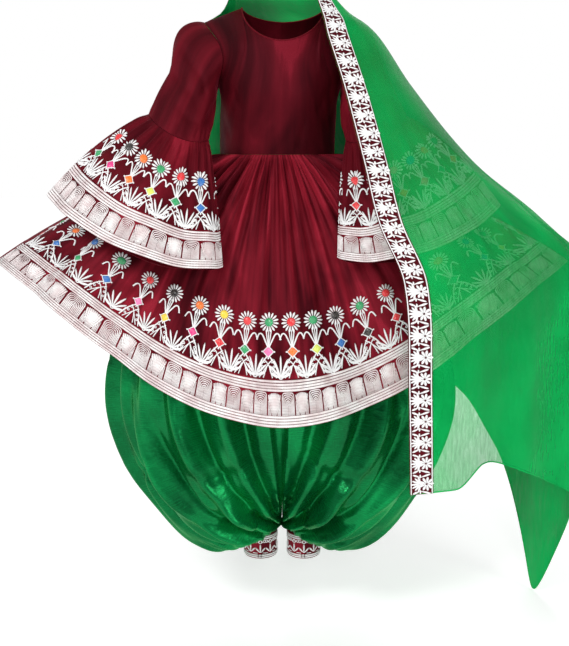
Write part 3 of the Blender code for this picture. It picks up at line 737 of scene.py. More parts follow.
def row_of(stitching, count, step, start, look, unevenness=0.0, seed=1):
    """The flat mesh of a motif repeated along a row."""
    motif = bpy.data.objects.new("motif", stitching.mesh("motif"))
    bpy.context.scene.collection.objects.link(motif)
    carrier = bpy.data.objects.new("row", bpy.data.meshes.new("row"))
    bpy.context.scene.collection.objects.link(carrier)
    modifier = carrier.modifiers.new("row", "NODES")
    modifier.node_group = ROW_OF_MOTIFS
    given = {
        "Motif": motif, "Count": count, "Step": float(step), "Start": float(start),
        "Unevenness": float(unevenness), "Seed": seed, "Finish": look,
    }
    for socket in ROW_OF_MOTIFS.interface.items_tree:
        if socket.in_out == "INPUT" and socket.name in given:
            modifier[socket.identifier] = given[socket.name]
    bpy.context.view_layer.update()
    evaluated = carrier.evaluated_get(bpy.context.evaluated_depsgraph_get())
    mesh = bpy.data.meshes.new_from_object(evaluated)
    bpy.data.objects.remove(carrier)
    bpy.data.objects.remove(motif)
    return mesh


def flat_points(mesh):
    points = np.zeros(len(mesh.vertices) * 3)
    mesh.vertices.foreach_get("co", points)
    return points.reshape(-1, 3)


def lay_on(mesh, name, points, look):
    """A flat mesh moved to its points on the cloth, as a piece."""
    mesh.vertices.foreach_set("co", points.reshape(-1))
    mesh.update()
    mesh.name = name
    if not mesh.materials:
        mesh.materials.append(look)
    piece = bpy.data.objects.new(name, mesh)
    bpy.context.scene.collection.objects.link(piece)
    return piece


def joined(name, pieces):
    """Several meshes of one finish as one piece."""
    whole = bmesh.new()
    for piece in pieces:
        whole.from_mesh(piece.data)
    mesh = bpy.data.meshes.new(name)
    whole.to_mesh(mesh)
    whole.free()
    mesh.materials.append(pieces[0].data.materials[0])
    for piece in pieces:
        bpy.data.objects.remove(piece)
    result = bpy.data.objects.new(name, mesh)
    bpy.context.scene.collection.objects.link(result)
    return result


def braids(length, steps):
    """The long braids of a band, above and below its panels."""
    rows = Stitching()
    for up in BRAIDS:
        along = np.linspace(0.0, length, steps)
        rows.cord(np.stack([along, np.full(steps, up)], axis=-1), BRAID_HALF_WIDTH)
    return rows.mesh("braids")


def panel_motif():
    """Two corded panels, each between dark slits: nested arches, then a fan of straight cords."""
    motif = Stitching()
    width = PITCH / 4 - SLIT_HALF_WIDTH
    for k in range(7):
        half, top = width - 0.0012 - k * 0.0028, PANEL_HIGH - 0.0014 - k * 0.0036
        bend = min(0.0075, half)
        path = bowed(
            (-half, PANEL_LOW), (-half, mix(PANEL_LOW, top - bend, 0.5)), (-half, top - bend),
            (-half + bend * 0.3, top - bend * 0.3), (-half + bend, top), (half - bend, top),
            (half - bend * 0.3, top - bend * 0.3), (half, top - bend),
            (half, mix(PANEL_LOW, top - bend, 0.5)),
            (half, PANEL_LOW), steps=15,
        )
        motif.cord(path + (-PITCH / 4, 0.0), 0.00138, CORD_HEIGHT * 0.85)
    for k in range(-4, 5):
        share = k / 4
        foot, top = PITCH / 4 + share * 0.0055, PITCH / 4 + share * (width - 0.0016)
        reach = PANEL_HIGH - 0.0014 - 0.004 * share * share
        halfway = (mix(foot, top, 0.4 + 0.2 * abs(share)), mix(PANEL_LOW, reach, 0.5))
        path = bowed((foot, PANEL_LOW), halfway, (top, reach), steps=7)
        motif.cord(path, (0.0007, 0.0011, 0.0016, 0.002, 0.0023, 0.0025, 0.002), CORD_HEIGHT)
    for sign in (-1, 1):
        for k in range(4):
            x = PITCH / 4 + sign * (width - 0.0012 - 0.0026 * k)
            top = mix(PANEL_LOW, PANEL_HIGH, 0.62 - 0.13 * k)
            motif.cord(((x, PANEL_LOW), (x, top)), 0.0013, CORD_HEIGHT * 0.8)
    return motif


def palmette():
    """Seven leaves opening upwards from a small ring on the band, with two side scrolls."""
    motif = Stitching()
    root = (0.0, 0.094)
    for k in range(-3, 4):
        motif.petal(root, k * 0.4, 0.042 - 0.0034 * abs(k) ** 1.5, 0.0024, CORD_HEIGHT * 1.3)
    motif.ring((0.0, 0.0945), 0.0036, 0.0015, CORD_HEIGHT * 1.1)
    for sign in (-1, 1):
        scroll = ((0.004, 0.094), (0.014, 0.0965), (0.021, 0.103), (0.0235, 0.112))
        motif.cord(bowed(*((sign * x, y) for x, y in scroll)), 0.0014)
    return motif


STONE_HEIGHT = 0.0034
DIAMOND_UP = 0.145
FLOWER_UP = 0.205


def stem_motif(diamond_up, flower_up):
    """Crossed legs up to a diamond, a forked stem with two bent arms, and a daisy on top."""
    motif = Stitching()
    foot = 0.0935
    for sign in (-1, 1):
        leg_middle = (sign * 0.015, mix(foot, diamond_up, 0.5))
        motif.cord(bowed((sign * 0.026, foot), leg_middle, (0.0, diamond_up - 0.006)), 0.0015)
        scrolls = (
            ((0.01, 0.0), (0.002, 0.45), (-0.01, 0.72), 0.0012),
            ((0.019, 0.0), (0.008, 0.3), (-0.004, 0.62), 0.0011),
        )
        for *scroll, half_width in scrolls:
            path = [(sign * out, mix(foot, diamond_up, share)) for out, share in scroll]
            motif.cord(bowed(*path), half_width)
        for up, out in ((0.22, 0.016), (0.42, 0.0125), (0.62, 0.0085)):
            motif.ring((sign * out, mix(foot, diamond_up, up)), 0.0022, 0.001, CORD_HEIGHT, sides=8)
        hook_up = mix(diamond_up, flower_up, 0.58)
        arm = (
            (0.0, diamond_up + 0.006), (sign * 0.006, mix(diamond_up, hook_up, 0.55)),
            (sign * 0.014, hook_up), (sign * 0.021, hook_up + 0.001), (sign * 0.0265, hook_up - 0.011),
        )
        motif.cord(bowed(*arm, steps=12), 0.0017, CORD_HEIGHT * 1.1)
        fork = (
            (0.0, mix(diamond_up, flower_up, 0.16)), (sign * 0.003, mix(diamond_up, flower_up, 0.42)),
            (sign * 0.0055, flower_up - 0.016),
        )
        motif.cord(bowed(*fork), 0.0012)
    motif.cord(((0.0, diamond_up + 0.006), (0.0, flower_up - 0.016)), 0.0012)
    for k in range(4):
        turn = k * math.pi / 2
        motif.petal((0.0105 * math.sin(turn), diamond_up + 0.0105 * math.cos(turn)), turn, 0.0045, 0.002)
    quarters = np.arange(4) * math.pi / 2
    corners = np.stack([0.0115 * np.sin(quarters), diamond_up + 0.0115 * np.cos(quarters)], axis=-1)
    outline = [mix(corners[k // 3], corners[(k // 3 + 1) % 4], k % 3 / 3) for k in range(12)]
    motif.cord(outline, 0.0012, closed=True)
    for k in range(15):
        turn = 2 * math.pi * k / 15
        root = (0.0085 * math.sin(turn), flower_up + 0.0085 * math.cos(turn))
        motif.petal(root, turn, 0.0128, 0.0024, CORD_HEIGHT * 1.3)
    return motif


STONE_COLOURS = {
    "red": (0.7, 0.015, 0.025), "green": (0.015, 0.32, 0.11), "blue": (0.015, 0.15, 0.48),
    "pink": (0.85, 0.17, 0.4), "magenta": (0.68, 0.02, 0.2), "yellow": (0.8, 0.58, 0.04),
    "orange": (0.88, 0.17, 0.015), "black": (0.012, 0.01, 0.012), "lime": (0.64, 0.73, 0.11),
}
SKIRT_DIAMONDS = {
    "front": "red blue green blue pink yellow magenta red green pink orange lime blue black red pink green blue yellow red",
    "back": "blue red yellow green orange pink blue red lime green magenta red blue yellow pink green orange red blue green",
}
SKIRT_FLOWERS = {
    "front": "green orange blue green red black orange yellow red green red green black green red orange red blue green pink",
    "back": "red green black orange red blue green pink red yellow green red black orange green red blue pink green red",
}


def stones_finish():
    """Glossy domed stones, each in its own colour, a little cloudy inside."""
    stone = Finish("stones", Coat_Weight=0.25, Coat_Roughness=0.1, Specular_IOR_Level=0.35)
    own = stone.make("ShaderNodeAttribute", {"attribute_name": "stone"}, {}, output="Color")
    cloud = stone.noise(stone.in_space(), 260.0, 2.0)
    stone.colour(stone.blend(stone.between(cloud, 0.35, 0.8, 0.0, 0.12), own, (0.9, 0.8, 0.7, 1.0)))
    stone.roughness(stone.between(cloud, 0.3, 0.7, 0.22, 0.42))
    return stone.material


STONES = stones_finish()


def domes(spots):
    """Flat-laid domed stones: each has a place along and up, a radius, a count of sides and a colour."""
    verts, faces, colours = [], [], []
    for along, up, radius, sides, colour in spots:
        first = len(verts)
        rings = ((1.0, 0.0), (0.96, 0.35), (0.7, 0.8), (0.3, 0.98))
        for wide, high in rings:
            for k in range(sides):
                turn = 2 * math.pi * k / sides
                x, y = along + radius * wide * math.sin(turn), up + radius * wide * math.cos(turn)
                verts.append((x, y, STONE_HEIGHT * high))
        verts.append((along, up, STONE_HEIGHT))
        for ring in range(len(rings) - 1):
            a, b = first + ring * sides, first + (ring + 1) * sides
            faces += [(a + (k + 1) % sides, a + k, b + k, b + (k + 1) % sides) for k in range(sides)]
        last = first + (len(rings) - 1) * sides
        faces += [(last + (k + 1) % sides, last + k, len(verts) - 1) for k in range(sides)]
        faces.append(tuple(range(first, first + sides)))
        colours += [(*STONE_COLOURS[colour], 1.0)] * (len(verts) - first)
    mesh = bpy.data.meshes.new("stones")
    mesh.from_pydata(verts, [], faces)
    own = mesh.attributes.new("stone", "FLOAT_COLOR", "POINT")
    own.data.foreach_set("color", np.array(colours).reshape(-1))
    mesh.polygons.foreach_set("use_smooth", [True] * len(mesh.polygons))
    mesh.set_sharp_from_angle(angle=math.radians(50))
    return mesh


def stones_in_row(count, pitch, diamond_up, flower_up, diamonds, flowers):
    """A daisy's centre and a diamond for each motif of a row."""
    spots = []
    for k, (diamond, flower) in enumerate(zip(diamonds.split(), flowers.split())):
        if k < count:
            spots.append(((k + 0.5) * pitch, flower_up, 0.0092, 12, flower))
            spots.append(((k + 0.5) * pitch, diamond_up, 0.0106, 4, diamond))
    return domes(spots)


def skirt_turn(along):
    """How far round the panel's middle a place along the hem is, with closer motifs in the middle."""
    index = along / PITCH - SKIRT_MOTIFS / 2
    return np.radians(MOTIF_TURN * index + MOTIF_SPREAD * index**3)


def motif_middle(along, pitch, row):
    """Where the motif that a point belongs to stands. A run of braid has no motifs."""
    if row == "run":
        return along
    if row == "between":
        return np.round(along / pitch) * pitch
    return (np.floor(along / pitch) + 0.5) * pitch


def laid_on_skirt(middle, forward):
    """Lays flat stitching on the skirt. Each motif keeps its own width, and a braid runs through."""
    place = skirt_panel(forward)

    def laid(flat, row="motifs"):
        along, up, lift = flat.T
        t = 1 - (1 - SKIRT_BAND_START) * up / BAND_HEIGHT
        centre = motif_middle(along, PITCH, row)
        q = skirt_turn(centre)
        if row != "run":
            speed = np.linalg.norm(skirt_base(q + 1e-3, t) - skirt_base(q - 1e-3, t), axis=-1) / 2e-3
            q = q + (along - centre) / speed
        q = middle + np.clip(q, -math.pi / 2, math.pi / 2)
        return place(q, t) + outward(place, q, t) * (BAND_LIFT + lift)[:, None]

    return laid


def hem_ground(name, place, columns, rows, closed=False):
    """A strip of velvet under the embroidery, laid on the hem."""
    columns_on, rows_on = np.meshgrid(columns, rows)
    points = place(columns_on, rows_on) + outward(place, columns_on, rows_on) * GROUND_LIFT
    return wall(name, points, GROUND_THICKNESS, VELVET, closed=closed)


def hem_row(stitching, name, count, step, start, laid, row="motifs", unevenness=0.0, seed=1, stretch=1.0):
    """A motif repeated along a hem and laid on it."""
    flat = row_of(stitching, count, step, start, EMBROIDERY, unevenness, seed)
    return lay_on(flat, name, laid(flat_points(flat) * (stretch, 1, 1), row), EMBROIDERY)


for side, (start, forward) in SKIRT_SIDES.items():
    laid = laid_on_skirt(start + math.pi / 2, forward)
    columns = np.linspace(start, start + math.pi, SKIRT_COLUMNS + 1)
    ground_rows = np.linspace(SKIRT_BAND_START, 1.0, 10)
    ground = hem_ground("skirt_hem_ground_" + side, skirt_panel(forward), columns, ground_rows)
    runs = braids(SKIRT_MOTIFS * PITCH, SKIRT_COLUMNS)
    rows_of_braid = lay_on(runs, "braids", laid(flat_points(runs), "run"), EMBROIDERY)
    panels = hem_row(panel_motif(), "panels", SKIRT_MOTIFS, PITCH, PITCH / 2, laid, "run")
    band = joined("skirt_hem_band_" + side, [rows_of_braid, panels])
    leaf_row = hem_row(palmette(), "leaves", SKIRT_MOTIFS - 1, PITCH, PITCH, laid, "between", 0.04, 3)
    stem_row = hem_row(stem_motif(DIAMOND_UP, FLOWER_UP), "stems", SKIRT_MOTIFS, PITCH, PITCH / 2, laid)
    flowers = joined("skirt_hem_flowers_" + side, [leaf_row, stem_row])
    gems = stones_in_row(
        SKIRT_MOTIFS, PITCH, DIAMOND_UP, FLOWER_UP, SKIRT_DIAMONDS[side], SKIRT_FLOWERS[side]
    )
    stones = lay_on(gems, "skirt_stones_" + side, laid(flat_points(gems)), STONES)
    for piece in (band, flowers):
        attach(piece, "root")
    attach(ground, "root")
    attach(stones, "root")
    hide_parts("skirt_band_" + side)

# The sleeves: a velvet upper sleeve is set into each armhole and ends above the elbow, where a wide
# fanned ruffle is gathered to it. The ruffle's hem carries the same band, stems and daisies.

SEAM_HALF_DEPTH = 0.056
SEAM_SAG = 0.022
RUFFLE_GATHERS = 22
RUFFLE_BAND_START = 0.67
RUFFLE_WAVES = 7
RUFFLE_WAVE_HEIGHT = 0.006
RUFFLE_GATHER_HEIGHT = 0.0035
SLEEVE_PUFF = 0.03
FAN_PUFF = 0.014
FAN_BELLY = 0.022
SLEEVE_MOTIFS = 12
SLEEVE_DIAMOND_UP = 0.142
SLEEVE_FLOWER_UP = 0.198
Sleeve = namedtuple(
    "Sleeve",
    "side seam_x seam_y seam_z seam_half seam_rise tip_x tip_y tip_z inner_x inner_y inner_z "
    "bow half_depth sag_front sag_back puff",
)
SLEEVES = {
    "right": Sleeve(
        -1, 0.232, -0.095, -0.273, 0.073, 0.43, 0.52, -0.16, -0.421, 0.128, -0.255, -0.57,
        0.075, 0.04, 0.03, 0.05, 1.0,
    ),
    "left": Sleeve(
        1, 0.212, -0.095, -0.276, 0.073, 0.4, 0.485, -0.16, -0.444, 0.121, -0.25, -0.55,
        0.075, 0.04, 0.03, 0.05, 0.1,
    ),
}
SLEEVE_CREASES = (
    Crease(0.1, 0.3, 0.2, 0.42, 0.34, 0.44, 0.01, -0.003),
    Crease(0.02, 0.52, 0.14, 0.62, 0.3, 0.6, 0.011, -0.0034),
    Crease(0.16, 0.76, 0.26, 0.82, 0.4, 0.78, 0.009, -0.0026),
    Crease(0.52, 0.36, 0.62, 0.5, 0.74, 0.52, 0.01, -0.003),
    Crease(0.58, 0.64, 0.7, 0.74, 0.84, 0.7, 0.01, -0.0028),
    Crease(0.36, 0.14, 0.42, 0.36, 0.44, 0.58, 0.01, 0.0026),
    Crease(0.88, 0.2, 0.92, 0.44, 0.9, 0.7, 0.011, 0.0028),
)
SLEEVE_DIAMONDS = {
    "right": "green magenta orange lime green blue red pink green yellow orange red",
    "left": "blue red green pink yellow green red blue orange magenta green red",
}
SLEEVE_FLOWERS = {
    "right": "red black orange green red blue black orange red green pink green",
    "left": "green red blue green black orange red green pink blue red green",
}


def seam_axes(sleeve):
    """Unit directions across a sleeve's seam ring, away from the body, and down the arm from it."""
    length = math.hypot(1, sleeve.seam_rise)
    across = np.array((1, 0, sleeve.seam_rise)) / length
    return across, np.array((sleeve.seam_rise, 0, -1)) / length


def seam_ring(sleeve, turn):
    """A point of the seam ring. turn 0 is the outer side, a quarter turn is the front."""
    across, _ = seam_axes(sleeve)
    middle = np.array((sleeve.seam_x, sleeve.seam_y, sleeve.seam_z))
    deep = np.sin(turn)
    sag = SEAM_SAG * np.maximum(0.0, deep) ** 1.6
    aside = np.cos(turn)[..., None] * across * sleeve.seam_half
    return middle + aside + spot(0, -SEAM_HALF_DEPTH * deep, -sag)


def armhole_ring(turn):
    """A point of the armhole. turn 0 is the shoulder, a quarter turn is the front."""
    x, z = armhole_edge((1 + np.cos(turn)) / 2)
    front = np.sin(turn) >= 0
    y = np.where(front, -torso_depth(x, z, "front"), torso_depth(x, z, "back"))
    return spot(x, y, z)


def upper_sleeve(sleeve):
    """The upper sleeve without its folds. v runs from the armhole to the seam ring."""

    def base(turn, v):
        start, end = armhole_ring(turn), seam_ring(sleeve, turn)
        point = mix(start, end, (np.maximum(v, 0.0) ** 1.3)[..., None])
        x = mix(start[..., 0] + 2 * SEAM_GAP, end[..., 0], v)
        outer = np.maximum(0.0, np.cos(turn))
        swell = np.sin(math.pi * np.clip(v * 1.6, 0.0, 1.0) ** 0.7)
        puff = SLEEVE_PUFF * sleeve.puff * outer * swell
        x, z = x + puff, point[..., 2] + puff * 0.35
        return spot(sleeve.side * x + centre_x(z) * (1 - v), point[..., 1], z)

    return base


def upper_sleeve_folds(turn, v):
    middle = fade(v, 0.1, 0.5) * (1 - fade(v, 0.75, 1.0))
    soft = crease_height(SLEEVE_CREASES, turn / (2 * math.pi) % 1.0, v, 0.4, 0.22)
    fine = soft * fade(v, 0.0, 0.2) * (1 - fade(v, 0.85, 1.0))
    gathers = np.cos(22 * turn + np.sin(5 * turn)) * 0.001 * fade(v, 0.75, 0.95) * (1 - fade(v, 0.96, 1.0))
    return (np.cos(7 * turn + 5 * v) * 0.0035 + np.cos(3 * turn - 2.5) * 0.003) * middle + fine + gathers


def fan_base(sleeve):
    """The fan without its folds. t runs from the seam ring to the hem."""

    def base(turn, t):
        _, arm = seam_axes(sleeve)
        top = seam_ring(sleeve, turn) + arm * 2 * SEAM_GAP
        tip = np.array((sleeve.tip_x, sleeve.tip_y, sleeve.tip_z))
        inner = np.array((sleeve.inner_x, sleeve.inner_y, sleeve.inner_z))
        deep = np.sin(turn)
        bow = sleeve.bow * deep * deep + sleeve.half_depth * deep
        sag = np.where(deep > 0, sleeve.sag_front, sleeve.sag_back) * np.abs(deep) ** 1.6
        hem = mix(inner, tip, ((1 + np.cos(turn)) / 2)[..., None]) + spot(0, -bow, -sag)
        belly = np.sin(math.pi * t)
        puff = FAN_PUFF * belly * np.cos(turn)
        point = mix(top, hem, t[..., None]) + spot(0.35 * puff, -FAN_BELLY * belly, puff)
        return spot(sleeve.side * point[..., 0], point[..., 1], point[..., 2])

    return base


def fan_fold_height(turn, t):
    gathers = np.cos(RUFFLE_GATHERS * turn) * RUFFLE_GATHER_HEIGHT
    gathers *= fade(t, 0.0, 0.1) * (1 - fade(t, 0.2, 0.85))
    fine = np.cos(57 * turn + 2 * np.sin(5 * turn)) * 0.0012 * fade(t, 0.0, 0.06) * (1 - fade(t, 0.1, 0.45))
    off_ends = fade(np.abs(np.sin(turn)), 0.0, 0.6)
    waves = np.cos(RUFFLE_WAVES * turn + 0.6) * RUFFLE_WAVE_HEIGHT * fade(t, 0.1, 0.9)
    return gathers * (1 - 0.5 * t) + fine + waves * off_ends


def sided(sleeve, place):
    """A sleeve's surface with its columns run anticlockwise on either side."""
    return lambda u, v: place(-sleeve.side * u, v)


def laid_on_ruffle(fan, hem_turns, hem_lengths, pitch):
    """Lays flat stitching round a ruffle's hem."""

    def laid(flat, row="motifs"):
        along, up, lift = flat.T
        t = 1 - (1 - RUFFLE_BAND_START) * up / BAND_HEIGHT
        centre = motif_middle(along, pitch, row)
        turn = np.interp(centre, hem_lengths, hem_turns)
        if row != "run":
            speed = np.linalg.norm(fan(turn + 1e-3, t) - fan(turn - 1e-3, t), axis=-1) / 2e-3
            turn = turn + (along - centre) / np.maximum(speed, 0.03)
        return fan(turn, t) + outward(fan, turn, t) * (BAND_LIFT + lift)[:, None]

    return laid


for side, sleeve in SLEEVES.items():
    upper = raised(sided(sleeve, upper_sleeve(sleeve)), upper_sleeve_folds)
    turns = np.linspace(0, 2 * math.pi, 161)[:-1]
    rows = np.linspace(0.0, 1.0, 61)
    arm = wall("sleeve_cloth_" + side, grid_of(upper, turns, rows), VELVET_THICKNESS, VELVET, closed=True)
    fan = raised(sided(sleeve, fan_base(sleeve)), fan_fold_height)
    turns = np.linspace(0, 2 * math.pi, 309)[:-1]
    rows = np.linspace(0.0, 1.0, 43)
    ruffle = wall("ruffle_cloth_" + side, grid_of(fan, turns, rows), VELVET_THICKNESS, VELVET, closed=True)
    ground_rows = np.linspace(RUFFLE_BAND_START, 1.0, 12)
    ground = hem_ground("ruffle_hem_ground_" + side, fan, turns, ground_rows, closed=True)
    plain = sided(sleeve, fan_base(sleeve))
    hem_turns = np.linspace(0, 2 * math.pi, 721)
    hem = plain(hem_turns, np.full(721, 0.9))
    hem_lengths = np.concatenate([[0.0], np.cumsum(np.linalg.norm(np.diff(hem, axis=0), axis=-1))])
    pitch = hem_lengths[-1] / SLEEVE_MOTIFS
    laid = laid_on_ruffle(fan, hem_turns, hem_lengths, pitch)
    runs = braids(hem_lengths[-1], 360)
    rows_of_braid = lay_on(runs, "braids", laid(flat_points(runs), "run"), EMBROIDERY)
    panels = hem_row(
        panel_motif(), "panels", SLEEVE_MOTIFS, PITCH, PITCH / 2, laid, "run", stretch=pitch / PITCH
    )
    band = joined("ruffle_hem_band_" + side, [rows_of_braid, panels])
    leaf_row = hem_row(palmette(), "leaves", SLEEVE_MOTIFS, pitch, 0.0, laid, "between", 0.04, 5)
    stem = stem_motif(SLEEVE_DIAMOND_UP, SLEEVE_FLOWER_UP)
    stem_row = hem_row(stem, "stems", SLEEVE_MOTIFS, pitch, pitch / 2, laid)
    flowers = joined("ruffle_hem_flowers_" + side, [leaf_row, stem_row])
    gems = stones_in_row(
        SLEEVE_MOTIFS, pitch, SLEEVE_DIAMOND_UP, SLEEVE_FLOWER_UP, SLEEVE_DIAMONDS[side], SLEEVE_FLOWERS[side]
    )
    stones = lay_on(gems, "ruffle_stones_" + side, laid(flat_points(gems)), STONES)
    for piece in (arm, ruffle, ground):
        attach(piece, "root")
    for piece in (band, flowers):
        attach(piece, "root")
    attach(stones, "root")
    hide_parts("sleeve_" + side)
    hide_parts("ruffle_" + side)
    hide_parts("ruffle_band_" + side)

# The trousers: two balloon legs of green satin, gathered into a drawstring casing at the waist and
# into narrow embroidered cuffs at the ankles, with a low crotch between them.

SATIN_THICKNESS = 0.001
LAY_GAP = 0.0004
LEG_FOLDS = 12
LEG_FOLD_HEIGHT = 0.013
CASING_HEIGHT = 0.026
CUFF_HEIGHT = 0.062
CUFF_RADIUS = 0.042
LEG_COLUMNS = 220
LEG_ROWS = 150
LEG_WIDE = 1.55
LEG_TALL = 1.15
Leg = namedtuple("Leg", "down z centre half_width half_depth droop")
LEG = (
    Leg(0.0, -0.351, 0.0, 0.1319, 0.0949, 0.0),
    Leg(0.08, -0.42, 0.03, 0.17, 0.12, 0.0),
    Leg(0.2, -0.56, 0.07, 0.225, 0.15, 0.0),
    Leg(0.36, -0.74, 0.105, 0.278, 0.185, 0.0),
    Leg(0.52, -0.92, 0.13, 0.284, 0.2, 0.0),
    Leg(0.66, -1.06, 0.138, 0.245, 0.195, 0.012),
    Leg(0.78, -1.16, 0.134, 0.185, 0.165, 0.034),
    Leg(0.87, -1.222, 0.118, 0.126, 0.13, 0.058),
    Leg(0.94, -1.253, 0.088, 0.082, 0.095, 0.062),
    Leg(1.0, -1.272, 0.055, 0.041, 0.042, 0.008),
)
# Folds swing down from the hip to the middle seam, where the slack of the low crotch gathers. They
# run across from the front middle seam, round the outside, to the back one.
LEG_CREASES = (
    Crease(0.03, 0.46, 0.018, 0.66, 0.008, 0.86, 0.016, 0.016),
    Crease(0.085, 0.44, 0.05, 0.68, 0.01, 0.86, 0.019, -0.022),
    Crease(0.13, 0.42, 0.085, 0.72, 0.014, 0.9, 0.023, 0.027),
    Crease(0.185, 0.45, 0.125, 0.76, 0.018, 0.92, 0.02, -0.024),
    Crease(0.235, 0.42, 0.17, 0.8, 0.026, 0.94, 0.024, 0.027),
    Crease(0.285, 0.47, 0.23, 0.83, 0.07, 0.95, 0.019, -0.022),
    Crease(0.335, 0.42, 0.3, 0.78, 0.14, 0.96, 0.024, 0.022),
    Crease(0.395, 0.5, 0.37, 0.76, 0.25, 0.95, 0.02, -0.019),
    Crease(0.455, 0.44, 0.45, 0.74, 0.36, 0.95, 0.023, 0.016),
    Crease(0.53, 0.48, 0.54, 0.76, 0.48, 0.95, 0.022, -0.019),
    Crease(0.6, 0.42, 0.63, 0.76, 0.62, 0.95, 0.024, 0.02),
    Crease(0.67, 0.48, 0.71, 0.8, 0.76, 0.95, 0.02, -0.02),
    Crease(0.735, 0.42, 0.79, 0.8, 0.88, 0.94, 0.024, 0.024),
    Crease(0.81, 0.48, 0.86, 0.78, 0.96, 0.92, 0.019, -0.022),
    Crease(0.87, 0.44, 0.915, 0.72, 0.982, 0.89, 0.022, 0.022),
    Crease(0.935, 0.46, 0.958, 0.68, 0.99, 0.85, 0.016, -0.016),
    Crease(0.06, 0.6, 0.11, 0.7, 0.2, 0.66, 0.022, -0.014),
    Crease(0.02, 0.73, 0.09, 0.83, 0.21, 0.72, 0.022, 0.016),
    Crease(0.02, 0.8, 0.11, 0.88, 0.26, 0.78, 0.018, -0.015),
    Crease(0.3, 0.62, 0.34, 0.72, 0.42, 0.68, 0.019, -0.011),
)


def leg_lean(z):
    """How far the middle seam of the trousers sits from the middle of the dress."""
    return WAIST_X * fade(z, -0.95, LEG[0].z)


def leg_place(side):
    """One leg. c runs anticlockwise from one middle seam to the other, v runs down."""

    def base(c, v):
        c = np.clip(c, 0.0, 1.0)
        around = c if side > 0 else 1 - c
        centre, half = read(LEG, v, "centre"), read(LEG, v, "half_width")
        start = np.arccos(np.minimum(1.0, centre / half))
        turn = mix(start, 2 * math.pi - start, around)
        x = centre - half * np.cos(turn)
        near_seam = 1 - fade(np.minimum(c, 1 - c), 0.0, 0.05)
        y = -read(LEG, v, "half_depth") * np.sin(turn)
        y = y - np.copysign(SEAM_GAP, 0.5 - around) * near_seam * fade(v, 0.85, 0.95)
        z = read(LEG, v, "z") - read(LEG, v, "droop") * (1 - np.cos(turn)) / 2
        return spot(side * (x + SEAM_GAP / 2) + leg_lean(z), y, z)

    return base


def leg_fold_height(side):
    def height(c, v):
        folds = np.cos(2 * math.pi * (LEG_FOLDS * c + 0.5)) + 0.4 * np.cos(2 * math.pi * 5 * c + 1 + 3 * v)
        along = fade(v, 0.02, 0.35) * (1 - fade(v, 0.7, 1.0))
        at_seam = fade(np.minimum(c, 1 - c), 0.0, 0.05)
        around = c if side > 0 else 1 - c
        soft = crease_height(LEG_CREASES, around + side * 0.006, v, LEG_WIDE, LEG_TALL)
        soft *= fade(np.minimum(c, 1 - c), 0.0, 0.02) * (1 - fade(v, 0.88, 0.99))
        gathers = np.cos(2 * math.pi * 26 * c + 3 * np.sin(9 * c)) * 0.0028
        gathers *= fade(v, 0.84, 0.94) * (1 - fade(v, 0.985, 1.0)) * at_seam
        waist = np.cos(2 * math.pi * 34 * c) * 0.002 * fade(v, 0.0, 0.03) * (1 - fade(v, 0.08, 0.3)) * at_seam
        lower = 1 - 0.45 * fade(v, 0.4, 0.7)
        return folds * LEG_FOLD_HEIGHT * along * at_seam * lower + soft + gathers + waist

    return height


def satin_finish():
    """Shiny green satin: bright on the folds that face the light, nearly black between them. Broad random patches blend
    a painted shade, a dark green, into its colour, and the brightest weave threads take a painted highlight.
    """
    satin = Finish(
        "satin", Metallic=0.62, Anisotropic=0.3, Specular_IOR_Level=0.5, Specular_Tint=(0.3, 1.0, 0.5, 1.0),
    )
    weft = satin.noise(satin.on_cloth(26.0, 900.0), 1.0, 2.0)
    warp = satin.noise(satin.on_cloth(1100.0, 60.0), 1.0, 2.0)
    wide = satin.noise(satin.in_space(), 6.0, 2.0)
    crumple = satin.noise(satin.in_space(), 24.0, 4.0, 0.6, 0.4)
    # Painted shade: broad random patches blend a dark green into the satin's green.
    tone = satin.blend(satin.between(wide, 0.35, 0.68), (0.0008, 0.085, 0.02, 1.0), (0.002, 0.23, 0.055, 1.0))
    # Painted highlight: the brightest weave threads blend towards a light green.
    satin.colour(satin.blend(satin.between(weft + warp, 0.9, 1.5, 0.0, 0.3), tone, (0.008, 0.38, 0.13, 1.0)))
    satin.roughness(satin.between(weft * 0.5 + crumple * 0.5, 0.3, 0.7, 0.2, 0.33))
    satin.bump(crumple + weft * 0.04, 0.006, 0.35)
    return satin.material


SATIN = satin_finish()


def ring_place(centre_at, half_width, half_depth, top, height):
    """A plain upright ring of cloth. u turns anticlockwise from the front."""

    def place(turn, v):
        return spot(centre_at + half_width * np.sin(turn), -half_depth * np.cos(turn), top - height * v)

    return place


def cuff_motif():
    """Edge cords and a row of small leaves and rings for a narrow cuff."""
    motif = Stitching()
    motif.petal((0.0, 0.016), 0.0, 0.022, 0.0024)
    for sign in (-1, 1):
        motif.petal((sign * 0.001, 0.016), sign * 0.75, 0.017, 0.0022)
        motif.petal((0.0, 0.05), math.pi + sign * 0.65, 0.01, 0.0018)
        motif.ring((sign * 0.0105, 0.046), 0.0032, 0.0011, sides=8)
    motif.ring((0.0, 0.0445), 0.004, 0.0012, sides=10)
    motif.cord(((-0.013, 0.0145), (0.013, 0.0145)), 0.0014)
    return motif


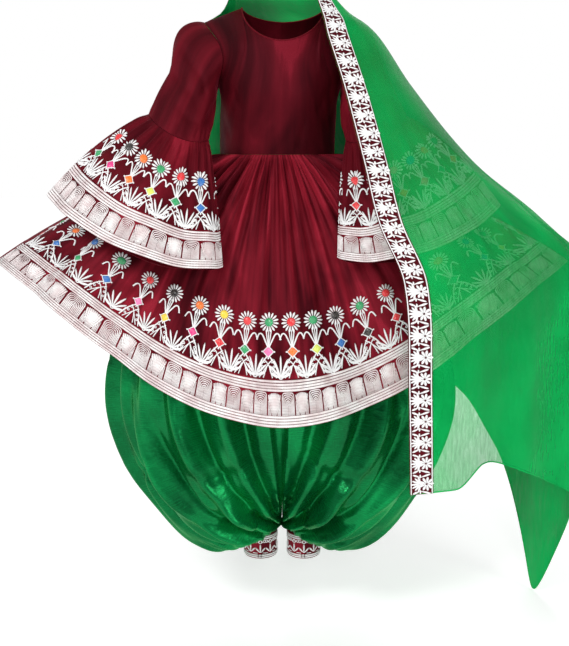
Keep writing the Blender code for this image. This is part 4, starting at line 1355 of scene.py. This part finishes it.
CUFF_MOTIFS = 10
for name, side in (("left", 1), ("right", -1)):
    place = raised(leg_place(side), leg_fold_height(side))
    columns = np.linspace(0.0, 1.0, LEG_COLUMNS + 1)
    rows = np.linspace(0.0, 1.0, LEG_ROWS + 1)
    leg = wall("trouser_leg_cloth_" + name, grid_of(place, columns, rows), SATIN_THICKNESS, SATIN)
    last = LEG[-1]
    top = last.z - last.droop - 2 * SEAM_GAP
    ring = ring_place(side * last.centre, CUFF_RADIUS, CUFF_RADIUS, top, CUFF_HEIGHT)
    turns = np.linspace(0, 2 * math.pi, 73)[:-1]
    cuff_points = grid_of(ring, turns, np.linspace(0, 1, 13))
    cuff = wall("trouser_cuff_cloth_" + name, cuff_points, VELVET_THICKNESS, VELVET, closed=True)
    round_cuff = 2 * math.pi * CUFF_RADIUS
    small = row_of(cuff_motif(), CUFF_MOTIFS, round_cuff / CUFF_MOTIFS, 0.0, EMBROIDERY)
    edges = Stitching()
    for up in (0.004, 0.009, 0.053, 0.058):
        along = np.linspace(0.0, round_cuff, 73)[:-1]
        edges.cord(np.stack([along, np.full(72, up)], axis=-1), 0.002, closed=True)
    edge_rows = edges.mesh("cuff_edges")
    laid_pieces = []
    for mesh in (small, edge_rows):
        flat = flat_points(mesh)
        turn, v = flat[:, 0] / CUFF_RADIUS, 1 - flat[:, 1] / CUFF_HEIGHT
        points = ring(turn, v) + outward(ring, turn, v) * flat[:, 2:3]
        laid_pieces.append(lay_on(mesh, "cuff_part", points, EMBROIDERY))
    trim = joined("cuff_embroidery_" + name, laid_pieces)
    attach(leg, "root")
    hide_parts("trouser_leg_" + name)
    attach(cuff, "root")
    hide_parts("trouser_cuff_" + name)
    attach(trim, "root")

inside = VELVET_THICKNESS + 4 * LAY_GAP
casing_place = ring_place(
    WAIST_X, WAIST_HALF_WIDTH - inside, WAIST_HALF_DEPTH - inside,
    LEG[0].z + SEAM_GAP + CASING_HEIGHT, CASING_HEIGHT,
)
casing_points = grid_of(casing_place, np.linspace(0, 2 * math.pi, 97)[:-1], np.linspace(0, 1, 9))
casing = wall("trouser_casing", casing_points, SATIN_THICKNESS, SATIN, closed=True)
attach(casing, "root")
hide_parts("trouser_waistband")

# The shawl: one long sheer chiffon over the head as a hood, down the back and round the left side,
# with a narrow rolled hem. A velvet ribbon with white rosettes borders its long edge.

CHIFFON_THICKNESS = 0.0006
SHAWL_BORDER = 0.04
CROWN_Z = 0.285
CROWN_FRONT_Y = -0.095
CROWN_BACK_Y = 0.035
HEAD_SHARE = 0.16
SHAWL_DROP = 0.0042
FALL_Z = -0.58
FALL_SHARE = 0.62
SHAWL_FOLDS = 9
SHAWL_FOLD_HEIGHT = 0.012
SHAWL_BORDER_WIDTH = 0.05
ROSETTE_PITCH = 0.045
Drape = namedtuple(
    "Drape",
    "z edge_x edge_y front_x front_y fore_x fore_y side_x side_y rear_x rear_y back_x back_y end_x end_y",
)
DRAPE = (
    Drape(0.03, 0.07, -0.078, 0.112, -0.012, 0.104, 0.05, 0.068, 0.092, -0.018, 0.108, -0.098, 0.066, -0.112, -0.03),
    Drape(-0.01, 0.084, -0.09, 0.144, -0.036, 0.148, 0.026, 0.12, 0.08, 0.04, 0.122, -0.085, 0.118, -0.142, 0.035),
    Drape(-0.036, 0.092, -0.103, 0.164, -0.066, 0.19, -0.012, 0.184, 0.035, 0.135, 0.088, -0.015, 0.138, -0.195, 0.062),
    Drape(-0.07, 0.099, -0.122, 0.184, -0.092, 0.22, -0.032, 0.227, 0.025, 0.19, 0.095, 0.02, 0.15, -0.24, 0.085),
    Drape(-0.18, 0.132, -0.176, 0.228, -0.152, 0.29, -0.08, 0.298, 0.01, 0.25, 0.11, 0.08, 0.168, -0.258, 0.105),
    Drape(-0.34, 0.17, -0.272, 0.28, -0.272, 0.405, -0.17, 0.438, 0.02, 0.345, 0.165, 0.15, 0.22, -0.27, 0.135),
    Drape(-0.46, 0.196, -0.352, 0.37, -0.365, 0.545, -0.235, 0.575, 0.01, 0.47, 0.195, 0.22, 0.262, -0.27, 0.18),
    Drape(-0.58, 0.246, -0.385, 0.41, -0.392, 0.655, -0.19, 0.72, 0.0, 0.62, 0.19, 0.33, 0.318, -0.27, 0.24),
    Drape(-0.8, 0.262, -0.385, 0.415, -0.387, 0.668, -0.195, 0.728, 0.0, 0.63, 0.195, 0.35, 0.35, -0.26, 0.34),
    Drape(-1.43, 0.285, -0.375, 0.425, -0.365, 0.67, -0.18, 0.725, 0.0, 0.64, 0.15, 0.37, 0.33, -0.25, 0.35),
)
DRAPE_POINTS = ("edge", "hem", "front", "fore", "side", "rear", "back", "end_hem", "end")
DRAPE_ALONG = (0.0, SHAWL_BORDER, 0.12, 0.32, 0.42, 0.54, 0.74, 1 - SHAWL_BORDER, 1.0)
Hang = namedtuple("Hang", "along bottom_z")
SHAWL_HEM = (
    Hang(0.0, -1.035), Hang(0.08, -1.02), Hang(0.12, -0.965), Hang(0.22, -1.02), Hang(0.33, -1.12),
    Hang(0.42, -1.25), Hang(0.5, -1.49), Hang(0.58, -1.13), Hang(0.68, -0.96), Hang(0.8, -0.8),
    Hang(1.0, -0.74),
)
SHAWL_CREASES = (
    Crease(0.1, 0.2, 0.14, 0.5, 0.15, 0.96, 0.018, 0.006),
    Crease(0.18, 0.22, 0.22, 0.52, 0.23, 0.97, 0.016, -0.006),
    Crease(0.26, 0.24, 0.31, 0.56, 0.32, 0.96, 0.018, 0.007),
    Crease(0.34, 0.3, 0.39, 0.62, 0.4, 0.98, 0.015, -0.007),
    Crease(0.45, 0.22, 0.48, 0.56, 0.49, 0.97, 0.016, 0.007),
    Crease(0.55, 0.24, 0.57, 0.56, 0.58, 0.96, 0.017, -0.007),
    Crease(0.64, 0.2, 0.66, 0.54, 0.67, 0.97, 0.017, 0.007),
    Crease(0.74, 0.22, 0.76, 0.56, 0.77, 0.96, 0.018, -0.007),
    Crease(0.85, 0.24, 0.87, 0.58, 0.88, 0.97, 0.017, 0.006),
)


def drape_section(z, c):
    """x and y of the shawl's plan at a height below the head. c runs 0 to 1 from the bordered edge."""
    points = {}
    for name in ("edge", "front", "fore", "side", "rear", "back", "end"):
        points[name] = np.stack([read(DRAPE, z, name + "_x"), read(DRAPE, z, name + "_y")], axis=-1)
    points["hem"] = points["edge"] + unit(points["front"] - points["edge"]) * SHAWL_BORDER_WIDTH
    points["end_hem"] = points["end"] + unit(points["back"] - points["end"]) * SHAWL_BORDER_WIDTH
    x = curve(DRAPE_ALONG, np.stack([points[name][..., 0] for name in DRAPE_POINTS]), c)
    y = curve(DRAPE_ALONG, np.stack([points[name][..., 1] for name in DRAPE_POINTS]), c)
    return x, y


def shawl_base(c, v):
    """The shawl without its folds. v runs 0 on the crown to 1 at the lower edge."""
    c, v = np.broadcast_arrays(np.clip(c, 0.0, 1.0), v)
    neck_z = DRAPE[0].z
    fall = mix(neck_z, FALL_Z, (v - HEAD_SHARE) / (FALL_SHARE - HEAD_SHARE))
    hang = mix(FALL_Z, read(SHAWL_HEM, c, "bottom_z"), (v - FALL_SHARE) / (1 - FALL_SHARE))
    z = np.where(v > FALL_SHARE, hang, np.minimum(fall, neck_z))
    x, y = drape_section(z, c)
    up = np.clip(1 - v / HEAD_SHARE, 0.0, 1.0) * math.pi / 2
    ridge_y = mix(CROWN_BACK_Y, CROWN_FRONT_Y, np.abs(2 * c - 1))
    on_head = v <= HEAD_SHARE
    x = np.where(on_head, x * np.cos(up) * (1 + 0.35 * np.sin(2 * up)), x)
    y = np.where(on_head, mix(y, ridge_y, 1 - np.cos(up)), y)
    z = np.where(on_head, mix(neck_z, CROWN_Z, np.sin(up)), z)
    return spot(x, y, z - SHAWL_DROP)


def shawl_fold_height(c, v):
    folds = np.cos(2 * math.pi * SHAWL_FOLDS * c + 0.8) + 0.4 * np.cos(2 * math.pi * 5 * c + 2)
    inside = fade(np.minimum(c, 1 - c), 0.02, 0.12)
    soft = crease_height(SHAWL_CREASES, c, v, 2.1, 1.5) * fade(v, 0.3, 0.6)
    return (folds * SHAWL_FOLD_HEIGHT * fade(v, 0.35, 0.85) + soft) * inside


def chiffon_finish():
    """Sheer crinkled chiffon, denser where its threads bunch and where it hangs in many layers."""
    chiffon = Finish(
        "chiffon", Sheen_Weight=0.05, Sheen_Tint=(0.2, 1.0, 0.4, 1.0), Specular_IOR_Level=0.1,
        Specular_Tint=(0.2, 1.0, 0.4, 1.0),
    )
    crinkle = chiffon.noise(chiffon.on_cloth(240.0, 14.0), 1.0, 3.0, 0.6)
    cloudy = chiffon.noise(chiffon.in_space(), 5.0, 3.0)
    share = chiffon.between(cloudy, 0.35, 0.65)
    tone = chiffon.blend(share, (0.002, 0.3, 0.062, 1.0), (0.003, 0.43, 0.092, 1.0))
    chiffon.colour(tone)
    layers = chiffon.make("ShaderNodeAttribute", {"attribute_name": "layers"}, {}, output="Fac")
    dense = chiffon.between(crinkle * 0.6 + cloudy * 0.4, 0.35, 0.65, 0.4, 0.58) + layers * 0.4
    chiffon.tree.links.new(dense.socket, chiffon.shader.inputs["Alpha"])
    chiffon.roughness(chiffon.between(crinkle, 0.3, 0.7, 0.5, 0.7))
    chiffon.bump(crinkle, 0.0012, 0.5)
    return chiffon.material


CHIFFON = chiffon_finish()
# The ribbon velvet: its deep tone is painted shade and its bright tone a painted sheen.
RIBBON = velvet_finish(
    "ribbon", (0.03, 0.0015, 0.003, 1.0), (0.09, 0.005, 0.009, 1.0), (0.18, 0.012, 0.022, 1.0)
)


def rosette_motif():
    """A rosette with a fan of leaves towards the ribbon's outer edge."""
    motif = Stitching()
    for k in range(9):
        turn = 2 * math.pi * k / 9
        motif.petal((0.0022 * math.sin(turn), 0.0345 + 0.0022 * math.cos(turn)), turn, 0.0128, 0.0029)
    for k in range(-3, 4):
        motif.petal((0.0, 0.0225), math.pi + k * 0.42, 0.0205 - 0.0011 * abs(k), 0.0024)
    motif.cord(((0.0, 0.027), (0.0, 0.02)), 0.0022)
    for sign in (-1, 1):
        motif.petal((sign * 0.015, 0.0225), sign * 0.3, 0.0215, 0.0024)
        motif.petal((sign * 0.015, 0.0205), math.pi - sign * 0.38, 0.0155, 0.0024)
        motif.petal((sign * 0.0125, 0.0215), sign * math.pi / 2, 0.0085, 0.002)
    return motif


shawl_place = raised(shawl_base, shawl_fold_height)
shawl_columns = np.concatenate([
    np.linspace(0.0, SHAWL_BORDER, 9)[:-1], np.linspace(SHAWL_BORDER, 1 - SHAWL_BORDER, 221),
    np.linspace(1 - SHAWL_BORDER, 1.0, 9)[1:],
])
shawl_rows = np.concatenate([np.linspace(0.0, HEAD_SHARE, 33)[:-1], np.linspace(HEAD_SHARE, 1.0, 126)])
shawl_points = grid_of(shawl_place, shawl_columns, shawl_rows)
shawl = wall("shawl_cloth", shawl_points, CHIFFON_THICKNESS, CHIFFON, ridge=True)
hem_c = np.linspace(0.0, 1.0, 301)
hem_points = shawl_place(hem_c, np.full(301, 0.9985))
rolled_hem = tube("shawl_rolled_hem", hem_points, 0.0014, CHIFFON, sides=6)
rolled_layers = rolled_hem.data.attributes.new("layers", "FLOAT", "POINT")
rolled_layers.data.foreach_set("value", np.ones(len(rolled_hem.data.vertices)))
x, y, z = np.array([vertex.co for vertex in shawl.data.vertices]).T
layers = fade(-z, 1.0, 1.3) * 0.8 + fade(x, 0.45, 0.66) * fade(-z, 0.45, 0.75) * 0.6
layers += fade(z, -0.1, 0.02) * 0.6 + fade(y, 0.0, 0.1)
shawl_layers = shawl.data.attributes.new("layers", "FLOAT", "POINT")
shawl_layers.data.foreach_set("value", np.minimum(layers, 1.0))
borders = []
for name, edge, inner in (("left", 0.0, SHAWL_BORDER), ("right", 1.0, 1 - SHAWL_BORDER)):
    columns = np.linspace(min(edge, inner), max(edge, inner), 7)
    rows = np.linspace(0.012, 1.0, 150)
    columns_on, rows_on = np.meshgrid(columns, rows)
    points = shawl_place(columns_on, rows_on) + outward(shawl_place, columns_on, rows_on) * 0.0012
    ribbon = wall("shawl_ribbon_" + name, points, 0.0008, RIBBON)
    run_v = np.linspace(0.012, 1.0, 801)
    run = shawl_place(np.full(801, mix(edge, inner, 0.5)), run_v)
    run_lengths = np.concatenate([[0.0], np.cumsum(np.linalg.norm(np.diff(run, axis=0), axis=-1))])
    count = int(run_lengths[-1] / ROSETTE_PITCH)
    step = run_lengths[-1] / count
    rosettes = row_of(rosette_motif(), count, step, step / 2, EMBROIDERY, 0.05, 8)
    edges = Stitching()
    for up in (0.003, 0.0475):
        along = np.linspace(0.001, run_lengths[-1] - 0.001, 400)
        edges.cord(np.stack([along, np.full(400, up)], axis=-1), 0.0013)
    edge_rows = edges.mesh("ribbon_edges")
    laid_pieces = []
    for mesh in (rosettes, edge_rows):
        flat = flat_points(mesh)
        v = np.interp(flat[:, 0], run_lengths, run_v)
        c = mix(edge, inner, flat[:, 1] / SHAWL_BORDER_WIDTH)
        points = shawl_place(c, v) + outward(shawl_place, c, v) * (flat[:, 2:3] + 0.0012)
        laid_piece = lay_on(mesh, "ribbon_part", points, EMBROIDERY)
        if edge == 1.0:
            laid_piece.data.flip_normals()
        laid_pieces.append(laid_piece)
    lace = joined("shawl_rosettes_" + name, laid_pieces)
    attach(ribbon, "root")
    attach(lace, "root")
    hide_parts("shawl_border_" + name)
    borders += [ribbon, lace]
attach(shawl, "root")
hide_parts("shawl")
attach(rolled_hem, "root")

# The setting: a plain pale floor just under the shawl's lowest point, soft lights and the camera
# at the photograph's angle.

FLOOR_Z = -1.498
SOFT_LIGHT = 0.42


def setting_finish():
    paper = Finish(
        "pale_floor", Base_Color=(0.86, 0.86, 0.86, 1.0), Emission_Strength=1.0
    )
    away = paper.make("ShaderNodeVectorMath", {"operation": "LENGTH"}, {0: paper.in_space()}, output="Value")
    glow = paper.blend(paper.between(away, 1.4, 3.2), (0.34, 0.34, 0.34, 1.0), (0.68, 0.68, 0.68, 1.0))
    paper.tree.links.new(glow.socket, paper.shader.inputs["Emission Color"])
    grain = paper.noise(paper.in_space(), 3.0)
    paper.roughness(paper.between(grain, 0.3, 0.7, 0.85, 0.95))
    return paper.material


floor_mesh = bpy.data.meshes.new("floor")
floor_corners = [(-15, -15, FLOOR_Z), (15, -15, FLOOR_Z), (15, 15, FLOOR_Z), (-15, 15, FLOOR_Z)]
floor_mesh.from_pydata(floor_corners, [], [(0, 1, 2, 3)])
floor_mesh.materials.append(setting_finish())
floor = bpy.data.objects.new("floor", floor_mesh)
bpy.context.scene.collection.objects.link(floor)

world = bpy.data.worlds.new("studio")
world.use_nodes = True
shade = world.node_tree
shade.nodes["Background"].inputs["Color"].default_value = (1.0, 1.0, 1.0, 1.0)
seen = shade.nodes.new("ShaderNodeLightPath")
amount = shade.nodes.new("ShaderNodeMapRange")
amount.inputs["To Min"].default_value = SOFT_LIGHT
amount.inputs["To Max"].default_value = 1.0
shade.links.new(seen.outputs["Is Camera Ray"], amount.inputs["Value"])
shade.links.new(amount.outputs[0], shade.nodes["Background"].inputs["Strength"])
bpy.context.scene.world = world
bpy.context.scene.view_settings.view_transform = "Standard"

Lamp = namedtuple("Lamp", "name x y z size power")
LAMPS = (
    Lamp("key", -1.6, -2.4, 1.5, 0.9, 62.0),
    Lamp("fill", 2.2, -2.0, 0.3, 1.2, 24.0),
    Lamp("front", 0.3, -3.2, 0.4, 0.5, 18.0),
    Lamp("rear", 0.6, 2.8, 1.6, 1.6, 40.0),
)
AIM = np.array((0.0, 0.0, -0.6))
for lamp in LAMPS:
    data = bpy.data.lights.new(lamp.name, "AREA")
    data.size = lamp.size
    data.energy = lamp.power
    light = bpy.data.objects.new(lamp.name, data)
    light.location = (lamp.x, lamp.y, lamp.z)
    away = np.array((lamp.x, lamp.y, lamp.z)) - AIM
    light.rotation_euler = (
        math.atan2(math.hypot(away[0], away[1]), away[2]), 0.0, math.atan2(away[1], away[0]) + math.pi / 2
    )
    bpy.context.scene.collection.objects.link(light)

lens = bpy.data.cameras.new("camera")
lens.lens = 53.4
lens.sensor_width = 36.0
lens.clip_end = 60.0
camera = bpy.data.objects.new("camera", lens)
camera.location = (0.006, -2.3, -0.28)
camera.rotation_euler = (math.radians(90 - 11.4), 0.0, 0.0)
bpy.context.scene.collection.objects.link(camera)
bpy.context.scene.camera = camera
